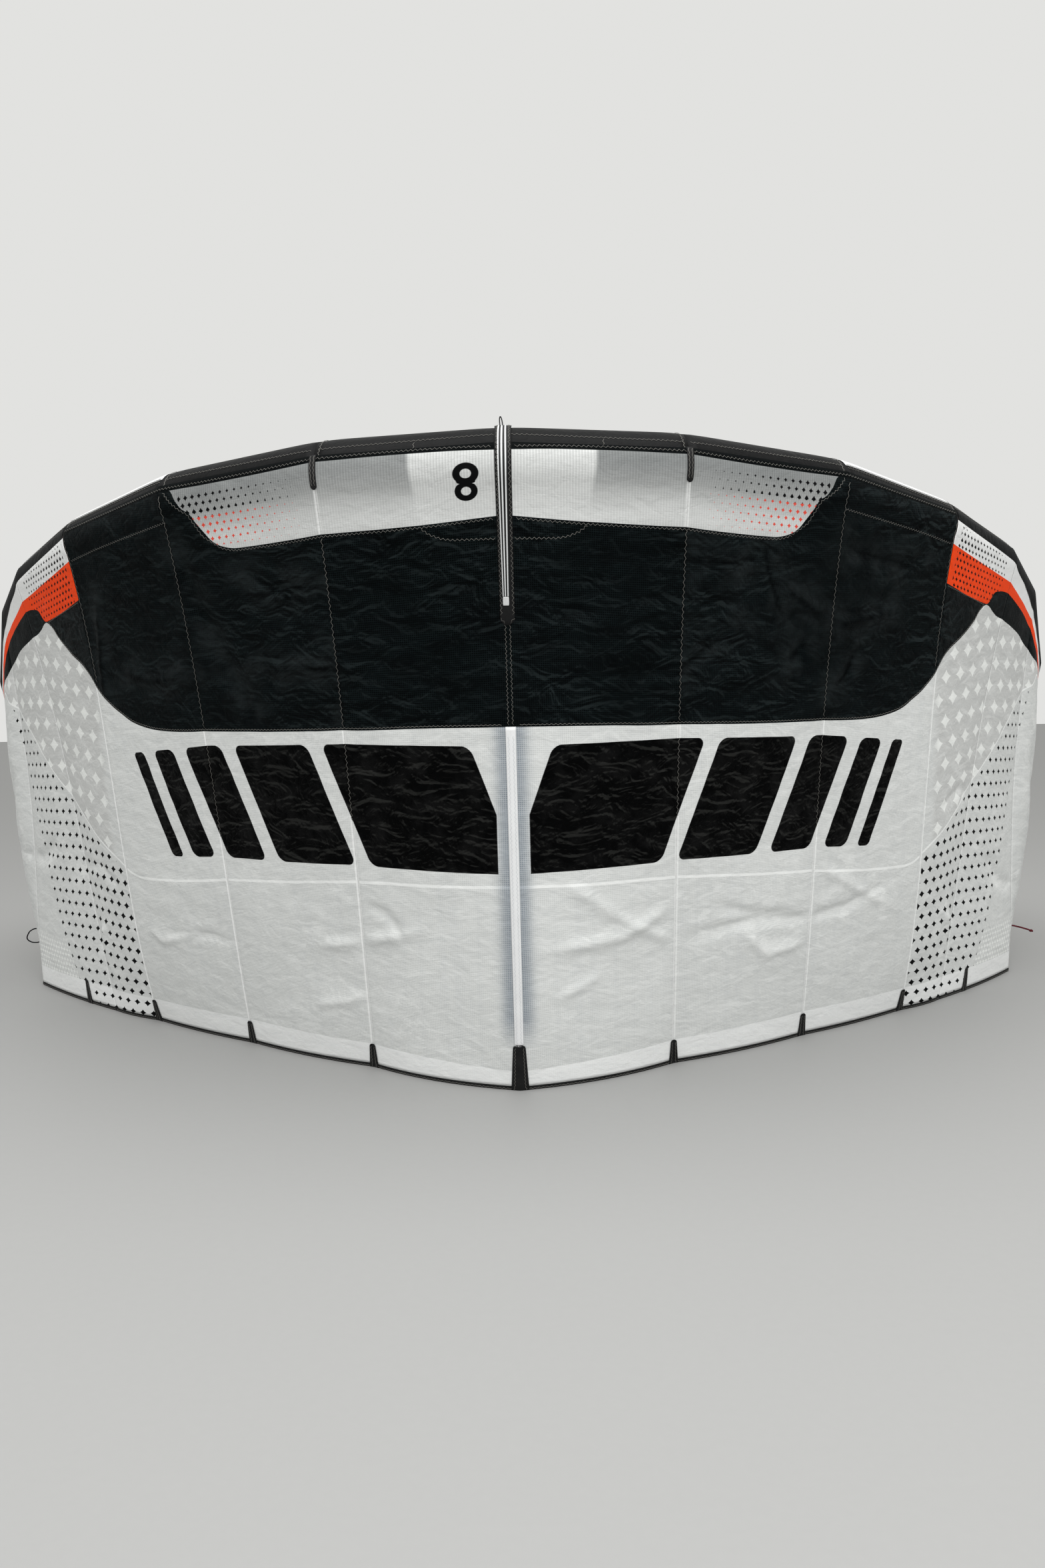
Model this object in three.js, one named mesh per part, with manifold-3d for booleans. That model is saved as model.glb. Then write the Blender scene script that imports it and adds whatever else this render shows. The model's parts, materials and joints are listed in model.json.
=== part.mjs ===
// Kitesurfing kite of the 8 m2 size: an inflated leading edge, three struts and a ripstop canopy,
// standing on its trailing edge with the leading edge up and both wing tips turned back.
// Millimetres, +Z up, +X to the right of someone who faces the outer side, which looks toward -Y.

import * as THREE from "three";
import { mergeVertices } from "three/addons/utils/BufferGeometryUtils.js";
import Module from "manifold-3d";

const wasm = await Module();
wasm.setup();

// Seams from the centre to the wing tip, alike on both halves but for small shifts toward +X at the
// leading and the trailing edge. The leading edge is given on its tube's axis, the trailing edge on the
// ground. turn is how many degrees a seam's ring on the tube is turned back toward the centre, slack the
// room between tube and cloth, camber the cloth's outward slope at its bottom, dip how far the seam's
// middle is drawn in, billow and edgeBow how far the next gore swells and how far its trailing edge bows.
const seams = [
  { leX: 0, leY: -357, leZ: 1373, tube: 75, teX: 0, teY: 0, leShift: 0, teShift: 0 },
  { leX: 358, leY: -237, leZ: 1375, tube: 74, teX: 367, teY: 185, leShift: -8, teShift: 5 },
  { leX: 717, leY: -16, leZ: 1352, tube: 71, teX: 719, teY: 396, leShift: -12, teShift: 9 },
  { leX: 1031, leY: 259, leZ: 1293, tube: 65, teX: 1037, teY: 618, leShift: -9, teShift: 10 },
  { leX: 1285, leY: 597, leZ: 1227, tube: 57, teX: 1183, teY: 720, leShift: -7, teShift: 3 },
  { leX: 1426, leY: 817, leZ: 1142, tube: 50, teX: 1506, teY: 1032, leShift: -7, teShift: -10 },
  { leX: 1536, leY: 1040, leZ: 955, tube: 44, teX: 1555, teY: 1310, leShift: -10, teShift: -10 },
  { leX: 1475, leY: 1740, leZ: 500, tube: 34, teX: 1440, teY: 1690, leShift: -10, teShift: -10 },
];
const drape = [
  { turn: 0, slack: 0.6, camber: 0, dip: 0, billow: 4, edgeBow: 26 },
  { turn: 13, slack: 0.8, camber: 0, dip: 0, billow: 4, edgeBow: 14 },
  { turn: 15, slack: 0.8, camber: 0.02, dip: 0, billow: 4, edgeBow: 9 },
  { turn: 17, slack: 0.8, camber: 0.1, dip: 0, billow: 6, edgeBow: 8 },
  { turn: 0, slack: 0.6, camber: 0, dip: 0, billow: 8, edgeBow: 10 },
  { turn: 0, slack: 0.6, camber: 0, dip: 12, billow: 48, edgeBow: 0 },
  { turn: 0, slack: 5, camber: 0.04, dip: 0, billow: 10, edgeBow: 0 },
  { turn: 0, slack: 5, camber: 0.04, dip: 0, billow: 0, edgeBow: 0 },
];
const lastSeam = seams.length - 1;

const pieceGap = 0.3; // between neighbouring pieces
const canopyThickness = 1.6;
const columns = 4; // of cloth across a gore
const chordRows = 10; // of cloth from the tube down to the trailing edge
const wrapRows = 3; // of cloth laid on the tube, one for each of its faces
const tubeSides = 20;
const tubeStep = (2 * Math.PI) / tubeSides;
const leaveAngle = -tubeStep / 2; // where the cloth leaves the tube, below its outer side
const tipRounding = [30, 55, 75]; // degrees of the rings that close the tube at the wing tip
const bindingHeight = 10;
const bindingThickness = 3;
const groundRow = chordRows + 1; // the row of the ground, one below the cloth's bottom edge
const patchThickness = 1;
const patchLift = 1; // above the cloth, which carries a patch in front of the binding
const probe = 0.005; // rows or seams to the next point that a direction is taken from
const halvings = 30; // in the search for a height along a seam

// Black patches on the trailing edge: the seam or the place between two seams, then the sizes.
const edgePatches = [
  { name: "te_patch_1", at: 1, topWidth: 17, bottomWidth: 28, top: 67, bottom: 0 },
  { name: "te_patch_2", at: 2, topWidth: 17, bottomWidth: 28, top: 67, bottom: 0 },
  { name: "te_patch_3", at: 3, topWidth: 16, bottomWidth: 27, top: 67, bottom: 0 },
  { name: "te_patch_4", at: 4.3, topWidth: 15, bottomWidth: 26, top: 73, bottom: 0 },
];
const centerPatch = { topWidth: 27, bottomWidth: 41, top: 112, bottom: 0 };
const centerStrip = { topWidth: 28, bottomWidth: 24, top: 855, bottom: 116 };
const centerTape = { topWidth: 32, bottomWidth: 27, bottom: 1070 };
const fingerPatch = { topWidth: 13, bottomWidth: 9, bottom: 1345 };
const struts = [
  { name: "strut_center", seam: 0, topRadius: 44, bottomRadius: 27, endHeight: 160 },
  { name: "strut", seam: 4, topRadius: 36, bottomRadius: 22, endHeight: 185 },
];
const strutSides = 16;
const strutClearance = 0.6; // between a strut and the cloth
const shortestRow = 0.3; // rows between the last two rings of a strut's straight part, at least
const bindingSpans = [[0, 2], [2, 4], [4, 5], [5, 7]]; // seams at the ends of each length of binding
const loop = { width: 9, height: 24, shoulder: 17, cordRadius: 1.5 };
const cordSides = 8;
const cordStep = 2.5; // diameters of a cord to each of its steps
const fewestCordSteps = 6;

// Line ends sewn to the wing tips, as the points of their routes before the kite is centred. The left
// one goes out and back as a small loop, and is given mirrored, as its half is.
const lineEnds = {
  r: {
    radius: 2.5,
    route: [
      [1529.3, 1109.9, 126.1], [1540.4, 1106.7, 124.9], [1558, 1102, 121], [1576, 1097, 116],
      [1593, 1092, 110],
    ],
  },
  l: {
    radius: 2,
    route: [
      [1545.9, 1083.8, 168.3], [1557, 1080.6, 167.1], [1571, 1078, 158], [1579, 1078, 138],
      [1570, 1085, 125], [1555.2, 1091.6, 121.4], [1544.1, 1094.8, 122.6],
    ],
  },
};

const colors = { black: 0x141517, cloth: 0xdcdedb, tape: 0x1a1b1d, strip: 0xf2f3f2, redLine: 0x5a1a22 };

const vec = (x, y, z) => new THREE.Vector3(x, y, z);
const moved = (point, direction, distance) => point.clone().addScaledVector(direction, distance);
const unit = (vector) => vector.clone().normalize();
const cross = (a, b) => new THREE.Vector3().crossVectors(a, b);
const minus = (a, b) => new THREE.Vector3().subVectors(a, b);
const mirrored = (v) => vec(-v.x, v.y, v.z);
const counted = (count, make) => Array.from({ length: count }, (_, index) => make(index));

// ---------- solids from rows of points ----------

function bodyGeometry(points, faces) {
  const geometry = new THREE.BufferGeometry();
  const coordinates = points.flatMap((point) => point.toArray());
  geometry.setAttribute("position", new THREE.Float32BufferAttribute(coordinates, 3));
  const volume = faces.reduce((sum, [a, b, c]) => sum + points[a].dot(cross(points[b], points[c])), 0);
  geometry.setIndex(faces.flatMap(([a, b, c]) => (volume > 0 ? [a, b, c] : [a, c, b])));
  geometry.computeVertexNormals();
  return geometry;
}

// A sheet between an outer and an inner grid of points, each a list of rows.
function sheetGeometry(outer, inner) {
  const rows = outer.length;
  const width = outer[0].length;
  const faces = [];
  const quad = (a, b, c, d) => faces.push([a, b, c], [a, c, d]);
  const front = (row, column) => row * width + column;
  const back = (row, column) => rows * width + front(row, column);
  for (let row = 0; row < rows - 1; row += 1) {
    for (let column = 0; column < width - 1; column += 1) {
      quad(front(row, column), front(row, column + 1), front(row + 1, column + 1), front(row + 1, column));
      quad(back(row, column), back(row + 1, column), back(row + 1, column + 1), back(row, column + 1));
    }
    quad(front(row, 0), front(row + 1, 0), back(row + 1, 0), back(row, 0));
    quad(front(row + 1, width - 1), front(row, width - 1), back(row, width - 1), back(row + 1, width - 1));
  }
  for (let column = 0; column < width - 1; column += 1) {
    quad(front(0, column + 1), front(0, column), back(0, column), back(0, column + 1));
    const last = rows - 1;
    quad(front(last, column), front(last, column + 1), back(last, column + 1), back(last, column));
  }
  return bodyGeometry([...outer.flat(), ...inner.flat()], faces);
}

// A closed body through rings that have the same number of points.
function loftGeometry(rings) {
  const sides = rings[0].length;
  const faces = [];
  const at = (ring, side) => ring * sides + (side % sides);
  for (let ring = 0; ring < rings.length - 1; ring += 1) {
    for (let side = 0; side < sides; side += 1) {
      faces.push([at(ring, side), at(ring, side + 1), at(ring + 1, side + 1)]);
      faces.push([at(ring, side), at(ring + 1, side + 1), at(ring + 1, side)]);
    }
  }
  const last = rings.length - 1;
  for (let side = 1; side < sides - 1; side += 1) {
    faces.push([at(0, 0), at(0, side + 1), at(0, side)]);
    faces.push([at(last, 0), at(last, side), at(last, side + 1)]);
  }
  return bodyGeometry(rings.flat(), faces);
}

function toManifold(geometry) {
  const positions = new THREE.BufferGeometry();
  positions.setAttribute("position", geometry.getAttribute("position"));
  positions.setIndex(geometry.getIndex());
  const merged = mergeVertices(positions, 1e-4);
  const vertProperties = new Float32Array(merged.getAttribute("position").array);
  const triVerts = new Uint32Array(merged.index.array);
  return new wasm.Manifold(new wasm.Mesh({ numProp: 3, vertProperties, triVerts }));
}

function cutGeometry(geometry, cutter) {
  const mesh = toManifold(geometry).subtract(toManifold(cutter)).getMesh();
  const result = new THREE.BufferGeometry();
  result.setAttribute("position", new THREE.Float32BufferAttribute(mesh.vertProperties, 3));
  result.setIndex([...mesh.triVerts]);
  result.computeVertexNormals();
  return result;
}

// ---------- one half of the kite, right of the centre seam ----------

// The direction along a row of seam points, halfway between the two pieces that meet at each.
function bisectors(points) {
  return points.map((point, i) => {
    const before = i > 0 ? points[i - 1] : mirrored(points[1]);
    const back = unit(minus(point, before));
    if (i === lastSeam) return back;
    return unit(back.add(unit(minus(points[i + 1], point))));
  });
}

// A point at an angle around the tube, from its outer side toward its top.
function aroundTube(frame, angle, radius) {
  const across = moved(frame.center, frame.outward, radius * Math.cos(angle));
  return moved(across, frame.up, radius * Math.sin(angle));
}

class Half {
  // side is 1 for the right half, and -1 for the left one, which is made here and mirrored later.
  constructor(side) {
    const centers = seams.map((seam) => vec(seam.leX + side * seam.leShift, seam.leY, seam.leZ));
    const feet = seams.map((seam) => vec(seam.teX + side * seam.teShift, seam.teY, 0));
    const tubeWays = bisectors(centers);
    const footWays = bisectors(feet);
    this.frames = seams.map((seam, i) => {
      const center = centers[i];
      const foot = feet[i];
      const axis = tubeWays[i].applyAxisAngle(vec(0, 0, 1), THREE.MathUtils.degToRad(-drape[i].turn));
      const outward = unit(cross(axis, minus(center, foot)));
      const up = unit(cross(outward, axis));
      return { tube: seam.tube, ...drape[i], axis, outward, up, center, foot, footWay: footWays[i] };
    });
    this.curves = this.frames.map((frame) => this.seamCurve(frame));
  }

  // The middle of the cloth along a seam, from the tube, which it leaves along its surface, to the binding.
  seamCurve(frame) {
    const leave = aroundTube(frame, leaveAngle, frame.tube + frame.slack + canopyThickness / 2);
    const upEdge = unit(minus(leave, frame.foot));
    const bottom = moved(frame.foot, upEdge, (bindingHeight + 2 * pieceGap) / upEdge.z);
    const third = bottom.distanceTo(leave) / 3;
    const aroundWay = vec(0, 0, 0)
      .addScaledVector(frame.outward, Math.sin(leaveAngle))
      .addScaledVector(frame.up, -Math.cos(leaveAngle));
    const slide = -upEdge.dot(frame.axis);
    const leaveWay = vec(0, 0, 0)
      .addScaledVector(aroundWay, Math.sqrt(1 - slide * slide))
      .addScaledVector(frame.axis, slide);
    const arriveWay = unit(moved(upEdge, unit(cross(frame.footWay, upEdge)), frame.camber));
    const controls = [leave, moved(leave, leaveWay, third), moved(bottom, arriveWay, third), bottom];
    return new THREE.CubicBezierCurve3(...controls);
  }

  // Rows count down a seam: below 0 they lie on the tube, and past chordRows they reach the ground.
  seamPoint(i, row) {
    const frame = this.frames[i];
    if (row < 0) {
      return aroundTube(frame, leaveAngle - row * tubeStep, frame.tube + frame.slack + canopyThickness / 2);
    }
    if (row > chordRows) return this.curves[i].v3.clone().lerp(frame.foot, row - chordRows);
    const drawnIn = frame.dip * Math.sin((Math.PI * row) / chordRows) ** 2;
    return moved(this.curves[i].getPoint(row / chordRows), frame.outward, -drawnIn);
  }

  // A point of the cloth's middle surface. place counts seams, so 0.5 is the middle of the first gore.
  clothPoint(place, row) {
    if (place < 0) return mirrored(this.clothPoint(-place, row));
    const gore = Math.min(Math.floor(place), lastSeam - 1);
    const share = place - gore;
    const near = this.seamPoint(gore, row);
    const far = this.seamPoint(gore + 1, row);
    const point = near.clone().lerp(far, share);
    if (row <= 0) return point;
    const { billow, edgeBow } = drape[gore];
    const depth = Math.min(row / chordRows, 1);
    const arch = 4 * share * (1 - share);
    const level = unit(cross(minus(far, near), vec(0, 0, 1)));
    const down = minus(this.seamPoint(gore, row + probe), near);
    const swell = unit(cross(down, minus(far, near))).multiplyScalar(billow * Math.sin(Math.PI * depth));
    return moved(point, swell.addScaledVector(level, edgeBow * depth ** 3), arch);
  }

  // Outward normal inside a gore. side says which gore a seam counts with.
  clothNormal(place, row, side) {
    const from = side > 0 ? place : place - probe;
    const across = minus(this.clothPoint(from + probe, row), this.clothPoint(from, row));
    const down = minus(this.clothPoint(place, row + probe), this.clothPoint(place, row - probe));
    return unit(cross(down, across));
  }

  // Offset at a seam that keeps the cloth's thickness on both sides of the fold.
  seamNormal(i, row) {
    if (i === lastSeam) return this.clothNormal(i, row, -1);
    const ahead = this.clothNormal(i, row, 1);
    const behind = i === 0 ? mirrored(ahead) : this.clothNormal(i, row, -1);
    const middle = unit(ahead.clone().add(behind));
    return middle.divideScalar(middle.dot(ahead));
  }

  // The row at a height above the ground, found along the seam by halving.
  rowAtHeight(i, height) {
    let low = -wrapRows;
    let high = groundRow;
    for (let step = 0; step < halvings; step += 1) {
      const middle = (low + high) / 2;
      if (this.seamPoint(i, middle).z > height) low = middle;
      else high = middle;
    }
    return low;
  }
}

// ---------- pieces ----------

function tubeRing(frame, radius, shift) {
  return counted(tubeSides, (side) => {
    return moved(aroundTube(frame, leaveAngle + side * tubeStep, radius), frame.axis, shift);
  });
}

function tubeGeometry(half, gore) {
  const near = half.frames[gore];
  const far = half.frames[gore + 1];
  const isTip = gore + 1 === lastSeam;
  const rings = [tubeRing(near, near.tube, pieceGap / 2)];
  rings.push(tubeRing(far, far.tube, isTip ? 0 : -pieceGap / 2));
  if (isTip) {
    tipRounding.map(THREE.MathUtils.degToRad).forEach((angle) => {
      rings.push(tubeRing(far, far.tube * Math.cos(angle), far.tube * Math.sin(angle)));
    });
  }
  return loftGeometry(rings);
}

// Which way the cloth goes from a seam into a gore, square to the seam's offset.
function intoGore(half, seam, row, normal, toward) {
  const down = minus(half.seamPoint(seam, row + probe), half.seamPoint(seam, row));
  const way = unit(cross(normal, down));
  return way.dot(toward) < 0 ? way.negate() : way;
}

function canopyGeometry(half, gore) {
  const outer = [];
  const inner = [];
  for (let row = -wrapRows; row <= chordRows; row += 1) {
    const middle = counted(columns + 1, (column) => half.clothPoint(gore + column / columns, row));
    const normals = counted(columns + 1, (column) => {
      if (column === 0) return half.seamNormal(gore, row);
      if (column === columns) return half.seamNormal(gore + 1, row);
      return half.clothNormal(gore + column / columns, row, 1);
    });
    const across = minus(middle[columns], middle[0]);
    const ahead = intoGore(half, gore, row, normals[0], across);
    const back = intoGore(half, gore + 1, row, normals[columns], across.clone().negate());
    middle[0].addScaledVector(ahead, pieceGap / 2);
    middle[columns].addScaledVector(back, pieceGap / 2);
    outer.push(middle.map((point, column) => moved(point, normals[column], canopyThickness / 2)));
    inner.push(middle.map((point, column) => moved(point, normals[column], -canopyThickness / 2)));
  }
  return sheetGeometry(outer, inner);
}

// A patch or tape on the outer side of the cloth, centred on a seam or on a place between two seams. It
// starts at the cloth's top edge where no top is given, and stands on the ground where its bottom is 0.
function patchGeometry(half, place, { top, bottom, topWidth, bottomWidth }) {
  const seam = Math.floor(place);
  const onSeam = place === seam;
  const offset = canopyThickness / 2 + patchLift;
  const topRow = top === undefined ? -wrapRows : half.rowAtHeight(seam, top);
  const bottomRow = bottom === 0 ? groundRow : half.rowAtHeight(seam, bottom);
  const allRows = counted(groundRow + wrapRows, (k) => k - wrapRows);
  const between = allRows.filter((row) => row > topRow && row < bottomRow);
  const outer = [];
  const inner = [];
  [topRow, ...between, bottomRow].forEach((row) => {
    const width = THREE.MathUtils.mapLinear(row, topRow, bottomRow, topWidth, bottomWidth);
    const share = (gore) => width / 2 / half.seamPoint(gore, row).distanceTo(half.seamPoint(gore + 1, row));
    const goreBefore = onSeam ? Math.max(seam - 1, 0) : seam;
    const sideways = [-share(goreBefore), 0, share(seam)];
    const upEdge = unit(minus(half.seamPoint(seam, row - probe), half.seamPoint(seam, row)));
    const placed = (k, distance) => {
      const at = place + sideways[k];
      const normal = onSeam && k === 1 ? half.seamNormal(seam, row) : half.clothNormal(at, row, k - 1);
      const point = moved(half.clothPoint(at, row), normal, distance);
      return row === groundRow ? moved(point, upEdge, -point.z / upEdge.z) : point;
    };
    outer.push([0, 1, 2].map((k) => placed(k, offset + patchThickness)));
    inner.push([0, 1, 2].map((k) => placed(k, offset)));
  });
  return sheetGeometry(outer, inner);
}

// A length of binding between two seams, flat on the ground and leaning as the cloth above it does.
function bindingGeometry(half, [first, last]) {
  const footAt = (place) => half.clothPoint(place, groundRow).setZ(0);
  const outer = [[], []];
  const inner = [[], []];
  counted((last - first) * columns + 1, (k) => first + k / columns).forEach((place) => {
    const foot = footAt(place);
    const back = unit(minus(foot, footAt(place - 1 / columns)));
    const ahead = place < lastSeam ? unit(minus(footAt(place + 1 / columns), foot)) : back;
    const along = unit(back.clone().add(ahead));
    const out = unit(cross(along, vec(0, 0, 1)));
    const halfWidth = bindingThickness / 2 / along.dot(ahead);
    let endShift = 0;
    if (place === first) endShift = pieceGap / 2;
    if (place === last && last < lastSeam) endShift = -pieceGap / 2;
    const onGround = moved(foot, along, endShift);
    const upEdge = unit(minus(half.clothPoint(place, 0), foot));
    const above = moved(onGround, upEdge, bindingHeight / upEdge.z);
    [above, onGround].forEach((point, row) => {
      outer[row].push(moved(point, out, halfWidth));
      inner[row].push(moved(point, out, -halfWidth));
    });
  });
  return sheetGeometry(outer, inner);
}

// A strut under the cloth along its seam, fitted to the tube's round and closed by a round end.
function strutGeometry(half, { seam, topRadius, bottomRadius, endHeight }) {
  const endRow = half.rowAtHeight(seam, endHeight);
  const radiusAt = (row) => THREE.MathUtils.mapLinear(row, 0, endRow, topRadius, bottomRadius);
  const centerAt = (row) => {
    const depth = canopyThickness / 2 + strutClearance + radiusAt(row);
    return moved(half.seamPoint(seam, row), half.seamNormal(seam, row), -depth);
  };
  const ringAt = (row, radius, shift) => {
    const along = unit(minus(centerAt(row + probe), centerAt(row)));
    const side = unit(cross(along, half.seamNormal(seam, row)));
    const out = cross(side, along);
    const center = moved(centerAt(row), along, shift);
    return counted(strutSides, (k) => {
      const angle = (2 * Math.PI * k) / strutSides;
      return moved(moved(center, side, radius * Math.cos(angle)), out, radius * Math.sin(angle));
    });
  };
  const rows = counted(chordRows, (row) => row).filter((row) => row < endRow - shortestRow);
  const rings = [...rows, endRow].map((row) => ringAt(row, radiusAt(row), 0));
  tipRounding.map(THREE.MathUtils.degToRad).forEach((angle) => {
    rings.push(ringAt(endRow, bottomRadius * Math.cos(angle), bottomRadius * Math.sin(angle)));
  });
  const cutRing = (frame) => tubeRing(frame, frame.tube + pieceGap, 0);
  const before = seam > 0 ? cutRing(half.frames[seam - 1]) : cutRing(halves.l.frames[1]).map(mirrored);
  const tube = loftGeometry([before, cutRing(half.frames[seam]), cutRing(half.frames[seam + 1])]);
  return cutGeometry(loftGeometry(rings), tube);
}

function cordGeometry(points, radius) {
  const path = new THREE.CatmullRomCurve3(points);
  const section = new THREE.Shape(counted(cordSides, (k) => {
    const angle = (2 * Math.PI * k) / cordSides;
    return new THREE.Vector2(radius * Math.cos(angle), radius * Math.sin(angle));
  }));
  const steps = Math.max(fewestCordSteps, Math.round(path.getLength() / (cordStep * 2 * radius)));
  return new THREE.ExtrudeGeometry(section, { steps, extrudePath: path });
}

// The small loop that stands on the middle of the leading edge.
function loopGeometry({ up, center, tube }) {
  const base = moved(center, up, tube * Math.cos(leaveAngle) + pieceGap);
  const side = loop.width / 2;
  const outline = [[-side, 0], [-side, loop.shoulder], [0, loop.height], [side, loop.shoulder], [side, 0]];
  return cordGeometry(outline.map(([x, rise]) => moved(vec(x, base.y, base.z), up, rise)), loop.cordRadius);
}

// ---------- the kite ----------

const kite = new THREE.Group();

// A piece of the left half comes in its half's own frame, which is the mirrored one.
function addPiece(name, geometry, color, roughness, side = "r") {
  const mesh = new THREE.Mesh(geometry, new THREE.MeshStandardMaterial({ color, roughness, metalness: 0 }));
  mesh.name = name;
  mesh.scale.x = side === "l" ? -1 : 1;
  kite.add(mesh);
}

const halves = { r: new Half(1), l: new Half(-1) };

// The same piece on both halves. make gets the half.
function addPair(name, make, color, roughness) {
  Object.entries(halves).forEach(([side, half]) => {
    addPiece(`${name}_${side}`, make(half), color, roughness, side);
  });
}

for (let gore = 0; gore < lastSeam; gore += 1) {
  addPair(`le_tube_${gore + 1}`, (half) => tubeGeometry(half, gore), colors.black, 0.6);
  addPair(`canopy_${gore + 1}`, (half) => canopyGeometry(half, gore), colors.cloth, 0.45);
}
bindingSpans.forEach((span, k) => {
  addPair(`te_binding_${k + 1}`, (half) => bindingGeometry(half, span), colors.black, 0.7);
});
edgePatches.forEach((patch) => {
  addPair(patch.name, (half) => patchGeometry(half, patch.at, patch), colors.black, 0.75);
});
addPair("le_finger", (half) => patchGeometry(half, 1, fingerPatch), colors.black, 0.75);
addPair("strut", (half) => strutGeometry(half, struts[1]), colors.strip, 0.5);
addPiece("strut_center", strutGeometry(halves.r, struts[0]), colors.strip, 0.5);
addPiece("te_patch_center", patchGeometry(halves.r, 0, centerPatch), colors.black, 0.75);
addPiece("center_tape", patchGeometry(halves.r, 0, centerTape), colors.tape, 0.6);
addPiece("center_strip", patchGeometry(halves.r, 0, centerStrip), colors.strip, 0.5);
addPiece("le_loop", loopGeometry(halves.r.frames[0]), colors.black, 0.8);

// The kite's box stands centred on the origin; the line ends at its tips don't count in it.
const box = new THREE.Box3().setFromObject(kite, true);
kite.position.x = -(box.min.x + box.max.x) / 2;
kite.position.y = -(box.min.y + box.max.y) / 2;

Object.entries(lineEnds).forEach(([side, { radius, route }]) => {
  const cord = cordGeometry(route.map((point) => vec(...point)), radius);
  addPiece(`pigtail_${side}`, cord, side === "r" ? colors.redLine : colors.black, 0.8, side);
});

export default kite;
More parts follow.
